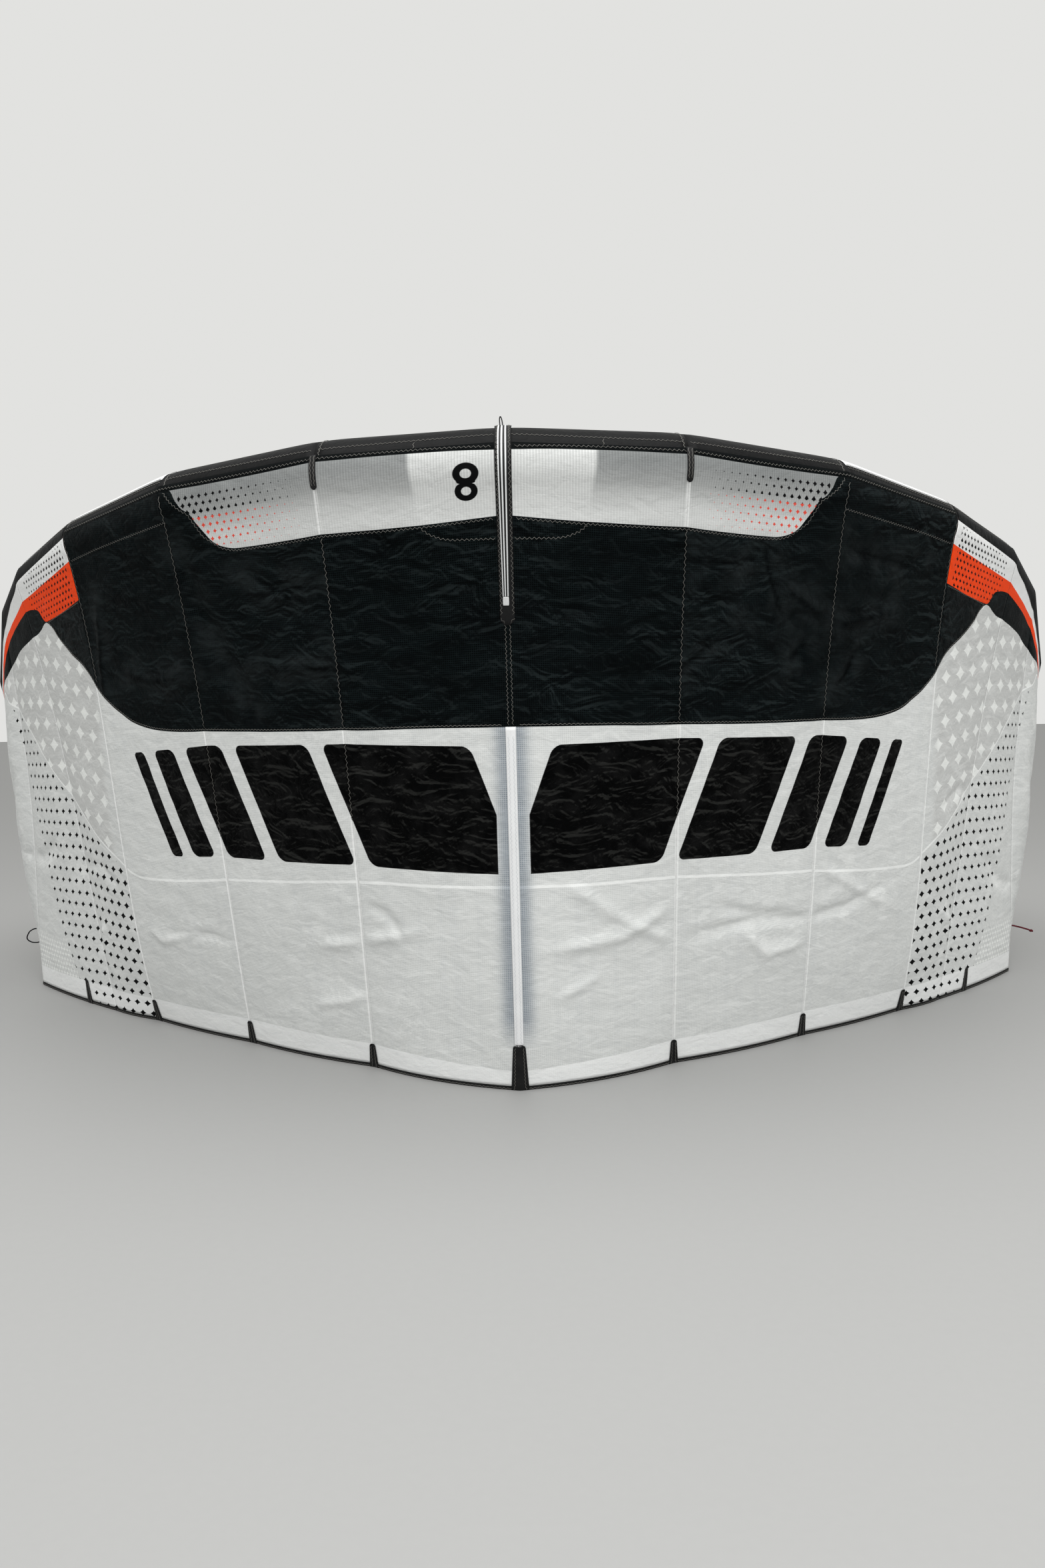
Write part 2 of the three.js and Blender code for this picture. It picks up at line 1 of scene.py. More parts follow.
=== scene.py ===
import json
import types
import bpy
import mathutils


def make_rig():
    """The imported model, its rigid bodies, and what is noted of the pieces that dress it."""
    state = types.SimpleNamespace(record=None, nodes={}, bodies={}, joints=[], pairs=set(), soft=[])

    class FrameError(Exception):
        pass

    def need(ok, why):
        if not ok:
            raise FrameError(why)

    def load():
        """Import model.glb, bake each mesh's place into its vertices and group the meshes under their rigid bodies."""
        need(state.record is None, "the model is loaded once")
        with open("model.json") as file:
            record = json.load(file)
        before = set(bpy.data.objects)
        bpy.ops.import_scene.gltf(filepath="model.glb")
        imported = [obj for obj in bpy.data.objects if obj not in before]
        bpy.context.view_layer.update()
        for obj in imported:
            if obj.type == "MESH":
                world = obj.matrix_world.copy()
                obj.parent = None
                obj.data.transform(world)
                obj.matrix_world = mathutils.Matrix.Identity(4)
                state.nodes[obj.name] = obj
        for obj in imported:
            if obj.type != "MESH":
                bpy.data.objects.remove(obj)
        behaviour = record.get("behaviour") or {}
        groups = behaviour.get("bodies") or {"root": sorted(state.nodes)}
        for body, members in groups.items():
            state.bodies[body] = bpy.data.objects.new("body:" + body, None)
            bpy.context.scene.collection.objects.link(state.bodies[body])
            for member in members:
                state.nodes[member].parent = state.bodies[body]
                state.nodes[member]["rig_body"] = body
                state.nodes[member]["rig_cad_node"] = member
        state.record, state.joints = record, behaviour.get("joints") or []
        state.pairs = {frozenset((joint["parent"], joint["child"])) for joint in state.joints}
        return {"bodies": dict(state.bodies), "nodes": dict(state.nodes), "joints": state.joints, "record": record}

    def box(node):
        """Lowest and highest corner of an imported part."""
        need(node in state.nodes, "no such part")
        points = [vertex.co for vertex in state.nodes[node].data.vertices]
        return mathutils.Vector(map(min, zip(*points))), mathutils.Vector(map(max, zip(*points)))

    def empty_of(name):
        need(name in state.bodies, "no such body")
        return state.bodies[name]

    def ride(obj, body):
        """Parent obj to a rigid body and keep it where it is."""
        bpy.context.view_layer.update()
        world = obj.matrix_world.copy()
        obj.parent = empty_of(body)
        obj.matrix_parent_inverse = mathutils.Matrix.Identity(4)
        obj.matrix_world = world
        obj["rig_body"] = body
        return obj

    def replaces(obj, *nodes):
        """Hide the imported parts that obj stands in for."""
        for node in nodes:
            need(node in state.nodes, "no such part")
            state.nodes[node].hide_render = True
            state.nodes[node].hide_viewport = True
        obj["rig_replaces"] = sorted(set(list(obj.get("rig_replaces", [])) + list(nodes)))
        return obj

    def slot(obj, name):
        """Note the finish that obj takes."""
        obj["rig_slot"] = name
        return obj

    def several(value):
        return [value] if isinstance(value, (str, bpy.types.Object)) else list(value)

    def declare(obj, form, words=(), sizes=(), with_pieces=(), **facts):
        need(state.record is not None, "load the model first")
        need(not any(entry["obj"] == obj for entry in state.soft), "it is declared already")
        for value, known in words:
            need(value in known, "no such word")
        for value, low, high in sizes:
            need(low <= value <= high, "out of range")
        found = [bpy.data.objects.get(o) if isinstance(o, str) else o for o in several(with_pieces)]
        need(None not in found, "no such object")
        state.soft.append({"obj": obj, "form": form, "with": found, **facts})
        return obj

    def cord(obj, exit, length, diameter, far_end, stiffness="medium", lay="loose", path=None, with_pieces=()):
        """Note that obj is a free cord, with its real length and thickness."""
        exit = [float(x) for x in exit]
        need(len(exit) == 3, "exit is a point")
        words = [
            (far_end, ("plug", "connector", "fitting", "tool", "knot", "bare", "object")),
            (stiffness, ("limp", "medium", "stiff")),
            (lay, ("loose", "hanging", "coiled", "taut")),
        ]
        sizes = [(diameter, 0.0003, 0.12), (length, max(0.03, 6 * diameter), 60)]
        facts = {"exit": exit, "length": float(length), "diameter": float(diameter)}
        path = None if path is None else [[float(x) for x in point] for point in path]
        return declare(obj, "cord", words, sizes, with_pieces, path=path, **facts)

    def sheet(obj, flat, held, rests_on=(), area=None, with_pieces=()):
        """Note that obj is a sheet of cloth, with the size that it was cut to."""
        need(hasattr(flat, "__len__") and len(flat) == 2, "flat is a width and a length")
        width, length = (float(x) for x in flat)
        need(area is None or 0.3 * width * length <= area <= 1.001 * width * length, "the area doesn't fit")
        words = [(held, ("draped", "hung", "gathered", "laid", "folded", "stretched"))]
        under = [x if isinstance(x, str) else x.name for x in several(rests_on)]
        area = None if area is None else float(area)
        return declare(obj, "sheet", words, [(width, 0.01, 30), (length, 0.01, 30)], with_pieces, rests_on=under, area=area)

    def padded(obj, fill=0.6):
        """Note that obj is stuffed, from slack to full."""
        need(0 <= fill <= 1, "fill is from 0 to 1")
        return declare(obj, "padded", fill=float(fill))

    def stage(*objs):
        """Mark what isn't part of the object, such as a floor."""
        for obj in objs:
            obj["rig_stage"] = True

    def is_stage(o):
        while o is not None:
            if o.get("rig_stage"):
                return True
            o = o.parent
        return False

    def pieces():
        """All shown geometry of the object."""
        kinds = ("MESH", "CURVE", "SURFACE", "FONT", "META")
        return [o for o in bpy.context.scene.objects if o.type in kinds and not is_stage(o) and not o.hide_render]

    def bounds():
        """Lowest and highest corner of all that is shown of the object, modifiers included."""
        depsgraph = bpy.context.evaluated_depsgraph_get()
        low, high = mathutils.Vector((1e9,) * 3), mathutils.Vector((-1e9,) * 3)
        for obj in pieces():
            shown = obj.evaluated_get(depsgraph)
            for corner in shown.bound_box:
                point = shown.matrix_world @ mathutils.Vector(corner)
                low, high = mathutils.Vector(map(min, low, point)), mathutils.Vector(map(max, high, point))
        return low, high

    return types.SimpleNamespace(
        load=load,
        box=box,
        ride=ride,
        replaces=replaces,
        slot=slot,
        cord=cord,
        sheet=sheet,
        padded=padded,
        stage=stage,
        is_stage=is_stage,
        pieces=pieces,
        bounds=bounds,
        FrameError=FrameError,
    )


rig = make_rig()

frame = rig.load()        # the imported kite, which stays as it is

import functools
import json
import math

import bmesh
import bpy
import numpy as np
from mathutils import Matrix, Vector, noise

scene = bpy.context.scene
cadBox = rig.bounds()
mm = 0.001

# the kite's surface: a place counts the seams from the middle one, a row counts down the cloth

seams = {  # from the middle to the wing tip, in mm: the tube's axis, then the trailing edge on the ground
    "leX": [0, 358, 717, 1031, 1285, 1426, 1536, 1475],
    "leY": [-357, -237, -16, 259, 597, 817, 1040, 1740],
    "leZ": [1373, 1375, 1352, 1293, 1227, 1142, 955, 500],
    "tube": [75, 74, 71, 65, 57, 50, 44, 34],
    "teX": [0, 367, 719, 1037, 1183, 1506, 1555, 1440],
    "teY": [0, 185, 396, 618, 720, 1032, 1310, 1690],
    "leShift": [0, -8, -12, -9, -7, -7, -10, -10],  # toward +X on both halves
    "teShift": [0, 5, 9, 10, 3, -10, -10, -10],
    "turn": [0, 13, 15, 17, 0, 0, 0, 0],  # degrees of the ring on the tube
    "slack": [0.6, 0.8, 0.8, 0.8, 0.6, 0.6, 5, 5],
    "camber": [0, 0, 0.02, 0.1, 0, 0, 0.04, 0.04],
    "dip": [0, 0, 0, 0, 0, 12, 0, 0],
    "billow": [4, 4, 4, 6, 8, 48, 10, 0],
    "edgeBow": [26, 14, 9, 8, 10, 0, 0, 0],
}
build = {
    "cloth": 1.6 * mm,  # between the faces of the solids
    "gap": 0.3 * mm,
    "step": math.radians(18),  # of a row on the tube
    "leave": math.radians(-9),  # where the cloth leaves the tube
    "wrapRows": 3,
    "chordRows": 10,
    "bindingHeight": 10 * mm,
}
lastSeam = len(seams["leX"]) - 1
footRow = build["chordRows"] + 1.0  # on the ground, below the binding
signs = {"r": 1, "l": -1}
mirrorX = np.array([-1.0, 1.0, 1.0])
upZ = np.array([0.0, 0.0, 1.0])


def unit(v):
    return v / np.linalg.norm(v, axis=-1, keepdims=True)


def column(values):
    return np.asarray(values, float)[..., None]


def walkedAlong(points):  # how far each point is from the first one along them
    return np.concatenate([[0], np.cumsum(np.linalg.norm(np.diff(points, axis=0), axis=1))])


def bisectors(points):  # the way along a row of seams, halfway between its two neighbours
    ways = []
    for i, point in enumerate(points):
        before = points[i - 1] if i else points[1] * mirrorX
        way = unit(point - before)
        if i < lastSeam:
            way = unit(way + unit(points[i + 1] - point))
        ways.append(way)
    return np.array(ways)


def turnedBack(ways, degrees):  # about the upright axis
    angle = -np.radians(degrees)
    cos, sin = np.cos(angle), np.sin(angle)
    return np.stack([ways[:, 0] * cos - ways[:, 1] * sin, ways[:, 0] * sin + ways[:, 1] * cos, ways[:, 2]], 1)


class KiteHalf:
    def __init__(self, side):
        s = {key: np.array(values, float) for key, values in seams.items()}
        self.center = np.stack([s["leX"] + side * s["leShift"], s["leY"], s["leZ"]], 1) * mm
        self.foot = np.stack([s["teX"] + side * s["teShift"], s["teY"], 0 * s["teY"]], 1) * mm
        self.tube = s["tube"] * mm
        self.dip, self.billow, self.edgeBow = (s[key] * mm for key in ("dip", "billow", "edgeBow"))
        self.axis = turnedBack(bisectors(self.center), s["turn"])
        self.outward = unit(np.cross(self.axis, self.center - self.foot))
        self.up = unit(np.cross(self.outward, self.axis))
        self.radius = self.tube + s["slack"] * mm + build["cloth"] / 2
        leave = self.onTube(np.arange(lastSeam + 1), build["leave"], self.radius)
        upEdge = unit(leave - self.foot)
        bottom = self.foot + upEdge * (build["bindingHeight"] + 2 * build["gap"]) / upEdge[:, 2:]
        third = np.linalg.norm(bottom - leave, axis=1, keepdims=True) / 3
        around = self.outward * math.sin(build["leave"]) - self.up * math.cos(build["leave"])
        slide = -(upEdge * self.axis).sum(1, keepdims=True)
        leaveWay = around * np.sqrt(1 - slide**2) + self.axis * slide
        arrive = unit(upEdge + unit(np.cross(bisectors(self.foot), upEdge)) * column(s["camber"]))
        self.controls = np.stack([leave, leave + leaveWay * third, bottom + arrive * third, bottom], 1)

    def onTube(self, i, angle, radius):
        return self.center[i] + self.outward[i] * column(radius * np.cos(angle)) + self.up[i] * column(
            radius * np.sin(angle))

    def seamPoint(self, i, row):
        row = np.asarray(row, float)
        onTube = self.onTube(i, build["leave"] - np.minimum(row, 0) * build["step"], self.radius[i])
        t = column(np.clip(row / build["chordRows"], 0, 1))
        a, b, c, d = (self.controls[i, k] for k in range(4))
        cloth = a * (1 - t)**3 + b * 3 * t * (1 - t)**2 + c * 3 * t**2 * (1 - t) + d * t**3
        cloth = cloth - self.outward[i] * column(self.dip[i]) * np.sin(math.pi * t)**2
        share = column(np.maximum(row - build["chordRows"], 0))
        cloth = cloth * (1 - share) + self.foot[i] * share
        return np.where(column(row) < 0, onTube, cloth)

    def clothPoint(self, place, row):
        gore = np.clip(np.floor(place).astype(int), 0, lastSeam - 1)
        share = column(place - gore)
        near, far = self.seamPoint(gore, row), self.seamPoint(gore + 1, row)
        point = near * (1 - share) + far * share
        depth = column(np.clip(row / build["chordRows"], 0, 1))
        level = unit(np.cross(far - near, upZ))
        down = self.seamPoint(gore, row + 0.005) - near
        swell = unit(np.cross(down, far - near)) * column(self.billow[gore]) * np.sin(math.pi * depth)
        bow = level * column(self.edgeBow[gore]) * depth**3
        return point + np.where(column(row) > 0, (swell + bow) * 4 * share * (1 - share), 0)


halves = {"r": KiteHalf(1), "l": KiteHalf(-1)}


def firstTubeCorner():  # lowest corner of the first tube piece, before the kite was centred
    half, corners, sides = halves["r"], [], 20
    angles = build["leave"] + build["step"] * np.arange(sides)
    for i, shift in ((0, build["gap"] / 2), (1, -build["gap"] / 2)):
        index = np.full(sides, i)
        corners.append(half.onTube(index, angles, half.tube[index]) + half.axis[i] * shift)
    return np.concatenate(corners).min(0)


centring = np.array(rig.box("le_tube_1_r")[0]) - firstTubeCorner()


def smoothCloth(place, row):  # place is negative on the left half
    place, row = np.broadcast_arrays(np.asarray(place, float), np.asarray(row, float))
    right = halves["r"].clothPoint(np.abs(place), row)
    left = halves["l"].clothPoint(np.abs(place), row) * mirrorX
    return np.where(column(place) < 0, left, right) + centring


def clothNormal(place, row):
    place, row = np.broadcast_arrays(np.asarray(place, float), np.asarray(row, float))
    ahead, behind = np.minimum(place + 0.004, lastSeam), np.maximum(place - 0.004, -lastSeam)
    across = smoothCloth(ahead, row) - smoothCloth(behind, row)
    down = smoothCloth(place, row + 0.01) - smoothCloth(place, row - 0.01)
    return unit(np.cross(down, across))


# main creases of the cloth: depth and half width in mm, then their (place, row) points; a ridge is negative
creases = [
    (7, 34, [(-1.97, 0.5), (-1.86, 2.0), (-1.6, 3.4)]),
    (3, 13, [(-0.8, 0.65), (-0.57, 0.95), (-0.43, 1.45), (-0.29, 1.85)]),
    (3, 15, [(-1.55, 1.0), (-1.35, 1.35), (-1.03, 1.45)]),
    (-3.5, 15, [(-1.54, 2.75), (-1.24, 2.65), (-0.98, 2.75), (-0.76, 2.65)]),
    (3, 14, [(-0.99, 2.45), (-0.66, 2.7)]), (-3.5, 16, [(-2.72, 2.4), (-2.43, 2.65), (-2.24, 2.7), (-2.04, 2.6)]),
    (3, 14, [(-0.95, 3.5), (-0.78, 3.3)]), (-3, 14, [(-2.8, 1.0), (-2.9, 2.2), (-2.95, 3.0)]),
    (3, 14, [(0.35, 0.9), (0.66, 1.1), (0.99, 1.1), (1.34, 1.15), (1.5, 0.7)]),
    (3.5, 14, [(0.13, 1.4), (0.22, 1.65), (0.32, 1.9), (0.46, 1.9)]),
    (-4, 17, [(0.19, 2.2), (0.69, 2.0), (0.98, 1.8)]),
    (3, 13, [(0.59, 2.25), (0.75, 2.1), (0.95, 2.2), (1.03, 2.6)]),
    (4, 18, [(0.34, 3.0), (0.65, 2.9), (0.99, 2.85), (1.12, 2.6), (1.36, 2.1)]),
    (4, 12, [(1.49, 0.7), (1.56, 1.35), (1.66, 2.0)]), (-3, 15, [(1.61, 1.4), (1.99, 2.0)]),
    (-4, 16, [(2.01, 2.05), (2.49, 1.6)]), (4, 14, [(2.05, 0.65), (2.23, 0.75), (2.59, 0.75), (2.79, 0.45)]),
    (4, 20, [(1.72, 2.7), (1.83, 2.35)]), (4, 16, [(2.06, 3.15), (2.16, 2.9), (2.25, 2.3)]),
    (-3, 14, [(-2.85, 7.7), (-2.72, 7.95), (-2.25, 7.6)]), (3, 12, [(-2.7, 7.85), (-2.36, 7.7), (-2.09, 7.8)]),
    (-3.5, 13, [(-1.36, 7.7), (-0.98, 7.5), (-0.75, 7.35), (-0.57, 7.15)]),
    (3, 13, [(-0.97, 6.8), (-0.81, 6.95), (-0.69, 7.45)]), (-3, 15, [(-1.41, 8.9), (-1.16, 8.75), (-0.99, 8.55)]),
    (-3.5, 13, [(0.26, 6.25), (0.64, 7.05), (1.01, 7.65)]), (-4, 15, [(0.17, 7.5), (0.64, 7.35), (0.98, 6.9)]),
    (4, 15, [(1.01, 7.6), (1.35, 7.45), (1.59, 7.4), (2.0, 7.5), (2.31, 7.35), (2.73, 6.8)]),
    (-3, 13, [(2.02, 6.4), (2.48, 7.1), (2.79, 7.5)]), (3, 12, [(1.25, 7.0), (1.54, 7.25), (1.85, 7.35)]),
    (-3, 13, [(0.24, 8.35), (0.51, 8.0)]), (-3.5, 15, [(1.47, 7.55), (1.66, 8.1), (1.98, 7.95)]),
    (-6, 13, [(3.66, 7.8), (3.85, 8.05), (3.9, 8.6), (3.95, 9.1)]),
    (-6, 13, [(-3.7, 7.8), (-3.85, 8.05), (-3.9, 8.6), (-3.95, 9.1)]),
    (3, 16, [(3.3, 5.4), (3.7, 5.0), (4.2, 5.3)]), (3, 16, [(-3.2, 6.9), (-3.6, 6.4), (-4.1, 6.6)]),
    (4, 20, [(4.4, 6.6), (4.7, 7.4), (5.2, 7.6)]), (4, 20, [(-4.4, 5.9), (-4.8, 6.4), (-5.3, 6.2)]),
    (5, 30, [(5.3, 3.0), (5.7, 5.5), (5.6, 7.5)]), (5, 30, [(-5.3, 3.3), (-5.7, 5.3), (-5.6, 7.8)]),
]
swells = {"high": 2.2 * mm, "length": 0.17, "fine": 1.1 * mm, "fineLength": 0.06, "creases": 1.8, "worn": 0.05,
          "goreWidth": 0.38, "strutClear": 0.07, "seamClear": 0.035}  # in m, but the creases times their depth


def creaseReach(points, line):  # distance from a line of points, and how far along it, from 0 to 1
    nearest, along = np.full(len(points), 9.0), np.zeros(len(points))
    steps = np.linalg.norm(np.diff(line, axis=0), axis=1)
    walked = np.concatenate([[0], np.cumsum(steps)]) / steps.sum()
    for a, b, low, high in zip(line, line[1:], walked, walked[1:]):
        way = b - a
        share = np.clip(((points - a) @ way) / (way @ way), 0, 1)
        away = np.linalg.norm(points - a - share[:, None] * way, axis=1)
        closer = away < nearest
        nearest, along = np.where(closer, away, nearest), np.where(closer, low + share * (high - low), along)
    return nearest, along


def wrinkles(place, row, points):  # how far the cloth stands off its smooth surface, and how creased it is
    offset = np.array([swells["high"] * noise.noise(Vector(p) / swells["length"])
                       + swells["fine"] * noise.noise(Vector((p[0], p[1], p[2] * 1.7)) / swells["fineLength"])
                       for p in points])
    worn, folded = np.zeros(len(points)), np.zeros(len(points))
    for depth, halfWidth, line in creases:
        at = np.array(line)
        if np.sign(at[0, 0]) != np.sign(place[len(place) // 2]):
            continue
        near, along = creaseReach(points, smoothCloth(at[:, 0], at[:, 1]))
        taper = np.clip(np.minimum(along, 1 - along) * 5, 0.15, 1)
        fall = np.exp(-(near / (halfWidth * mm))**2)
        offset -= swells["creases"] * depth * mm * fall * taper
        # closeness to a crease, which the cloth's material uses for stronger relief and for painted highlight beside
        # the creases
        worn = np.maximum(worn, np.exp(-(near / swells["worn"])**2))
        folded = np.maximum(folded, np.exp(-(near / (0.45 * halfWidth * mm))**2) * taper * (halfWidth < 25))
    fromSeam = np.abs(place - np.round(place)) * swells["goreWidth"]
    onStrut = np.round(np.abs(place)) % 4 == 0  # the cloth keeps off the struts
    held = np.where(onStrut, np.clip(fromSeam / swells["strutClear"], 0, 1)**2,
                    np.clip(fromSeam / swells["seamClear"], 0, 1))
    belowTube, aboveBinding = np.clip((row + 0.1) / 0.5, 0, 1), np.clip((9.75 - row) / 0.35, 0, 1)
    return offset * held * belowTube * aboveBinding, worn, folded * belowTube


def cloth(place, row, lift=0.0):
    place, row = np.broadcast_arrays(np.asarray(place, float), np.asarray(row, float))
    points = smoothCloth(place, row)
    offset = wrinkles(place, row, points)[0]
    return points + clothNormal(place, row) * column(offset + lift)


def seamHeights(place, rows):  # height above the ground along a seam or a place
    return smoothCloth(np.full(len(rows), float(place)), rows)[:, 2]


def rowAtHeight(place, height):
    rows = np.linspace(-3, 11, 1401)
    return float(np.interp(-height, -seamHeights(place, rows), rows))


# camera

view = {"at": (0.0784, -3.5812, 1.0244), "turn": -0.0173, "down": 0.1052, "roll": -0.0185, "lens": 29.64}


def makeCamera():
    forward = Vector((math.sin(view["turn"]) * math.cos(view["down"]),
                      math.cos(view["turn"]) * math.cos(view["down"]), -math.sin(view["down"])))
    level = Vector((math.cos(view["turn"]), -math.sin(view["turn"]), 0))
    upright = level.cross(forward)
    right = level * math.cos(view["roll"]) + upright * math.sin(view["roll"])
    up = upright * math.cos(view["roll"]) - level * math.sin(view["roll"])
    data = bpy.data.cameras.new("camera")
    data.lens = view["lens"]
    data.sensor_width = 36
    data.clip_end = 60
    camera = bpy.data.objects.new("camera", data)
    scene.collection.objects.link(camera)
    turned = Matrix((right, up, -forward)).transposed().to_4x4()
    camera.matrix_world = Matrix.Translation(view["at"]) @ turned
    scene.camera = camera


makeCamera()

# materials


class Value:  # one output of a node, which takes part in sums by making further nodes
    def __init__(self, n, socket):
        self.n, self.socket = n, socket

    def __abs__(self):
        return self.n.math("ABSOLUTE", self)

    def __round__(self):
        return self.n.math("ROUND", self)


def addSums(name, operation):
    setattr(Value, f"__{name}__", lambda self, other: self.n.math(operation, self, other))
    setattr(Value, f"__r{name}__", lambda self, other: self.n.math(operation, other, self))


for name, operation in {"add": "ADD", "sub": "SUBTRACT", "mul": "MULTIPLY", "truediv": "DIVIDE", "pow": "POWER",
                        "mod": "FLOORED_MODULO"}.items():
    addSums(name, operation)


class Made:  # a new node, whose outputs are taken by name or number
    def __init__(self, n, node):
        self.n, self.node = n, node

    def __getitem__(self, key):
        return Value(self.n, self.node.outputs[key])


class NodeTree:  # short calls for the nodes that the materials share
    def __init__(self, tree):
        self.tree = tree

    def feed(self, socket, value):  # a link from another node, or a plain value
        if isinstance(value, Value):
            self.tree.links.new(value.socket, socket)
        elif value is not None:
            socket.default_value = value

    def add(self, kind, inputs=(), **settings):
        node = self.tree.nodes.new(kind)
        for key, value in settings.items():
            setattr(node, key, value)
        for key, value in inputs.items() if isinstance(inputs, dict) else enumerate(inputs):
            self.feed(node.inputs[key], value)
        return Made(self, node)

    def math(self, operation, *values, clamp=False):
        return self.add("ShaderNodeMath", values, operation=operation, use_clamp=clamp)[0]

    def most(self, *values):
        return self.math("MAXIMUM", *values)

    def least(self, *values):
        return self.math("MINIMUM", *values)

    def every(self, x, distance=1.0):  # how far x is from the nearest whole number of distances
        return self.math("PINGPONG", x, distance / 2)

    def vectorMath(self, operation, *values, **named):
        return self.add("ShaderNodeVectorMath", {**dict(enumerate(values)), **named}, operation=operation)[0]

    def mix(self, mask, low, high):  # a colour where the mask is 0, and another where it is 1
        colors = [value if isinstance(value, Value) else (*value, 1) for value in (low, high)]
        return self.add("ShaderNodeMix", {0: mask, 6: colors[0], 7: colors[1]}, data_type="RGBA")[2]

    def tint(self, mask, color, factors):  # a colour times plain factors, where the mask says
        return self.add("ShaderNodeMix", {0: mask, 6: color, 7: (*factors, 1)}, data_type="RGBA",
                        blend_type="MULTIPLY")[2]

    def ramp(self, x, low, high, start=0.0, end=1.0, kind="LINEAR"):  # start up to low, and end from high on
        return self.add("ShaderNodeMapRange", [x, low, high, start, end], interpolation_type=kind)[0]

    def above(self, x, edge, soft):  # 0 below the edge, 1 above it
        return self.ramp(x, self.math("SUBTRACT", edge, soft), self.math("ADD", edge, soft))

    def below(self, x, edge, soft):
        return 1.0 - self.above(x, edge, soft)

    def between(self, x, low, high, soft):
        return self.above(x, low, soft) * self.below(x, high, soft)

    def join(self, *values):
        return self.add("ShaderNodeCombineXYZ", values)[0]

    def split(self, vector):
        return self.add("ShaderNodeSeparateXYZ", [vector])

    def attribute(self, name, output="Fac"):
        return self.add("ShaderNodeAttribute", attribute_name=name)[output]

    def position(self):
        return self.add("ShaderNodeTexCoord")["Object"]

    def noise(self, where, scale, detail=2.0, rough=0.5, warp=0.0):
        return self.add("ShaderNodeTexNoise", {"Vector": where, "Scale": scale, "Detail": detail,
                                               "Roughness": rough, "Distortion": warp})["Fac"]

    def bump(self, height, distance, normal=None):
        return self.add("ShaderNodeBump", {"Height": height, "Distance": distance, "Normal": normal})[0]

    def group(self, name, **inputs):
        return self.add("ShaderNodeGroup", inputs, node_tree=groups[name])


groups = {}


def newGroup(key, name, make, **inputs):  # make gives the outputs by name; Where is a vector, all else a number
    tree = groups[key] = bpy.data.node_groups.new(name, "ShaderNodeTree")
    for key, value in inputs.items():
        kind = "NodeSocketVector" if key == "Where" else "NodeSocketFloat"
        socket = tree.interface.new_socket(key, in_out="INPUT", socket_type=kind)
        if value is not None:
            socket.default_value = value
    n = NodeTree(tree)
    outputs = make(n, n.add("NodeGroupInput"))
    for key in outputs:
        tree.interface.new_socket(key, in_out="OUTPUT", socket_type="NodeSocketFloat")
    sink = tree.nodes.new("NodeGroupOutput")
    for key, value in outputs.items():
        n.feed(sink.inputs[key], value)


def ripstop(n, given):  # thicker threads in a square grid
    masks = [n.below(n.every(given[name] / given["Cell"]), 0.14, 0.09) for name in ("Across", "Along")]
    return {"Lines": n.most(*masks), "Height": (masks[0] + masks[1]) * 0.5}


def crinkle(n, given):  # the small sharp folds of coated cloth that has been packed away
    scale = 1.0 / given["Size"]
    x, y, z = n.split(given["Where"])
    where = n.join(x, y * given["Stretch"], z)
    drift = n.add("ShaderNodeTexNoise", {"Vector": where, "Scale": scale, "Detail": 3.0})["Color"]
    amount = n.vectorMath("SCALE", n.vectorMath("SUBTRACT", drift, (0.5, 0.5, 0.5)), Scale=given["Size"])
    moved = n.vectorMath("ADD", where, amount)
    heights, folds = [], []
    for share, weight in ((1.0, 0.62), (2.6, 0.38)):  # large cells, and smaller ones between them
        cells = n.add("ShaderNodeTexVoronoi", {"Vector": moved, "Scale": scale * share},
                      feature="DISTANCE_TO_EDGE")["Distance"]
        heights.append(n.least(cells * 2.2, 1.0) ** 0.6 * weight)
        folds.append(n.below(cells, 0.035, 0.03))
    patchy = n.above(n.noise(where, scale * 0.32, 2.0), 0.5, 0.14)
    return {"Height": heights[0] + heights[1], "Folds": n.most(*folds) * patchy}


def glance(n, given):  # where small folds catch the light from above, and where they lose it
    moved = n.vectorMath("ADD", given["Where"], (0.0016, 0.0052, 0.0))
    here, above = (n.noise(n.vectorMath("MULTIPLY", spot, (1.0, 1.9, 1.0)), given["Scale"], 5.0, 0.6, 0.9)
                   for spot in (given["Where"], moved))
    slope = here - above
    return {"Light": n.ramp(slope, 0.012, 0.085), "Dark": n.ramp(slope, -0.012, -0.085)}


def diamonds(n, given):  # plain diamonds, every other row shifted by half a step
    row = given["Along"] / given["Rows"]
    number = round(row)
    fromRow = abs((row - number) * given["Rows"])
    place = given["Across"] / given["Step"] + number % 2.0 * 0.5
    fromPlace = abs((place - round(place)) * given["Step"]) * given["Slim"]
    away = (fromRow ** 0.75 + fromPlace ** 0.75) ** (4 / 3)
    return {"Mask": n.below(away, given["Reach"], 0.0005)}


def roundBar(n, given):  # a bar with round corners, whose middle is at Center
    reach = []
    for value, half in ((given["X"] - given["Center"], "HalfWidth"), (given["Y"], "HalfHeight")):
        inner = given[half] - given["Corner"]
        reach.append(n.most(abs(value) - inner, 0.0))
    away = n.math("SQRT", reach[0] * reach[0] + reach[1] * reach[1])
    return {"Mask": n.below(away, given["Corner"], 0.0005)}


def tapeWeave(n, given):  # fine slanting ribs of a woven tape, with a little dust
    x, y, z = n.split(given["Where"])
    ribs = [n.every((level + z * 0.8) / given["Rib"]) for level in (x, y)]
    return {"Height": ribs[0] + ribs[1], "Dust": n.above(n.noise(given["Where"], 28.0, 4.0, 0.65), 0.52, 0.2)}


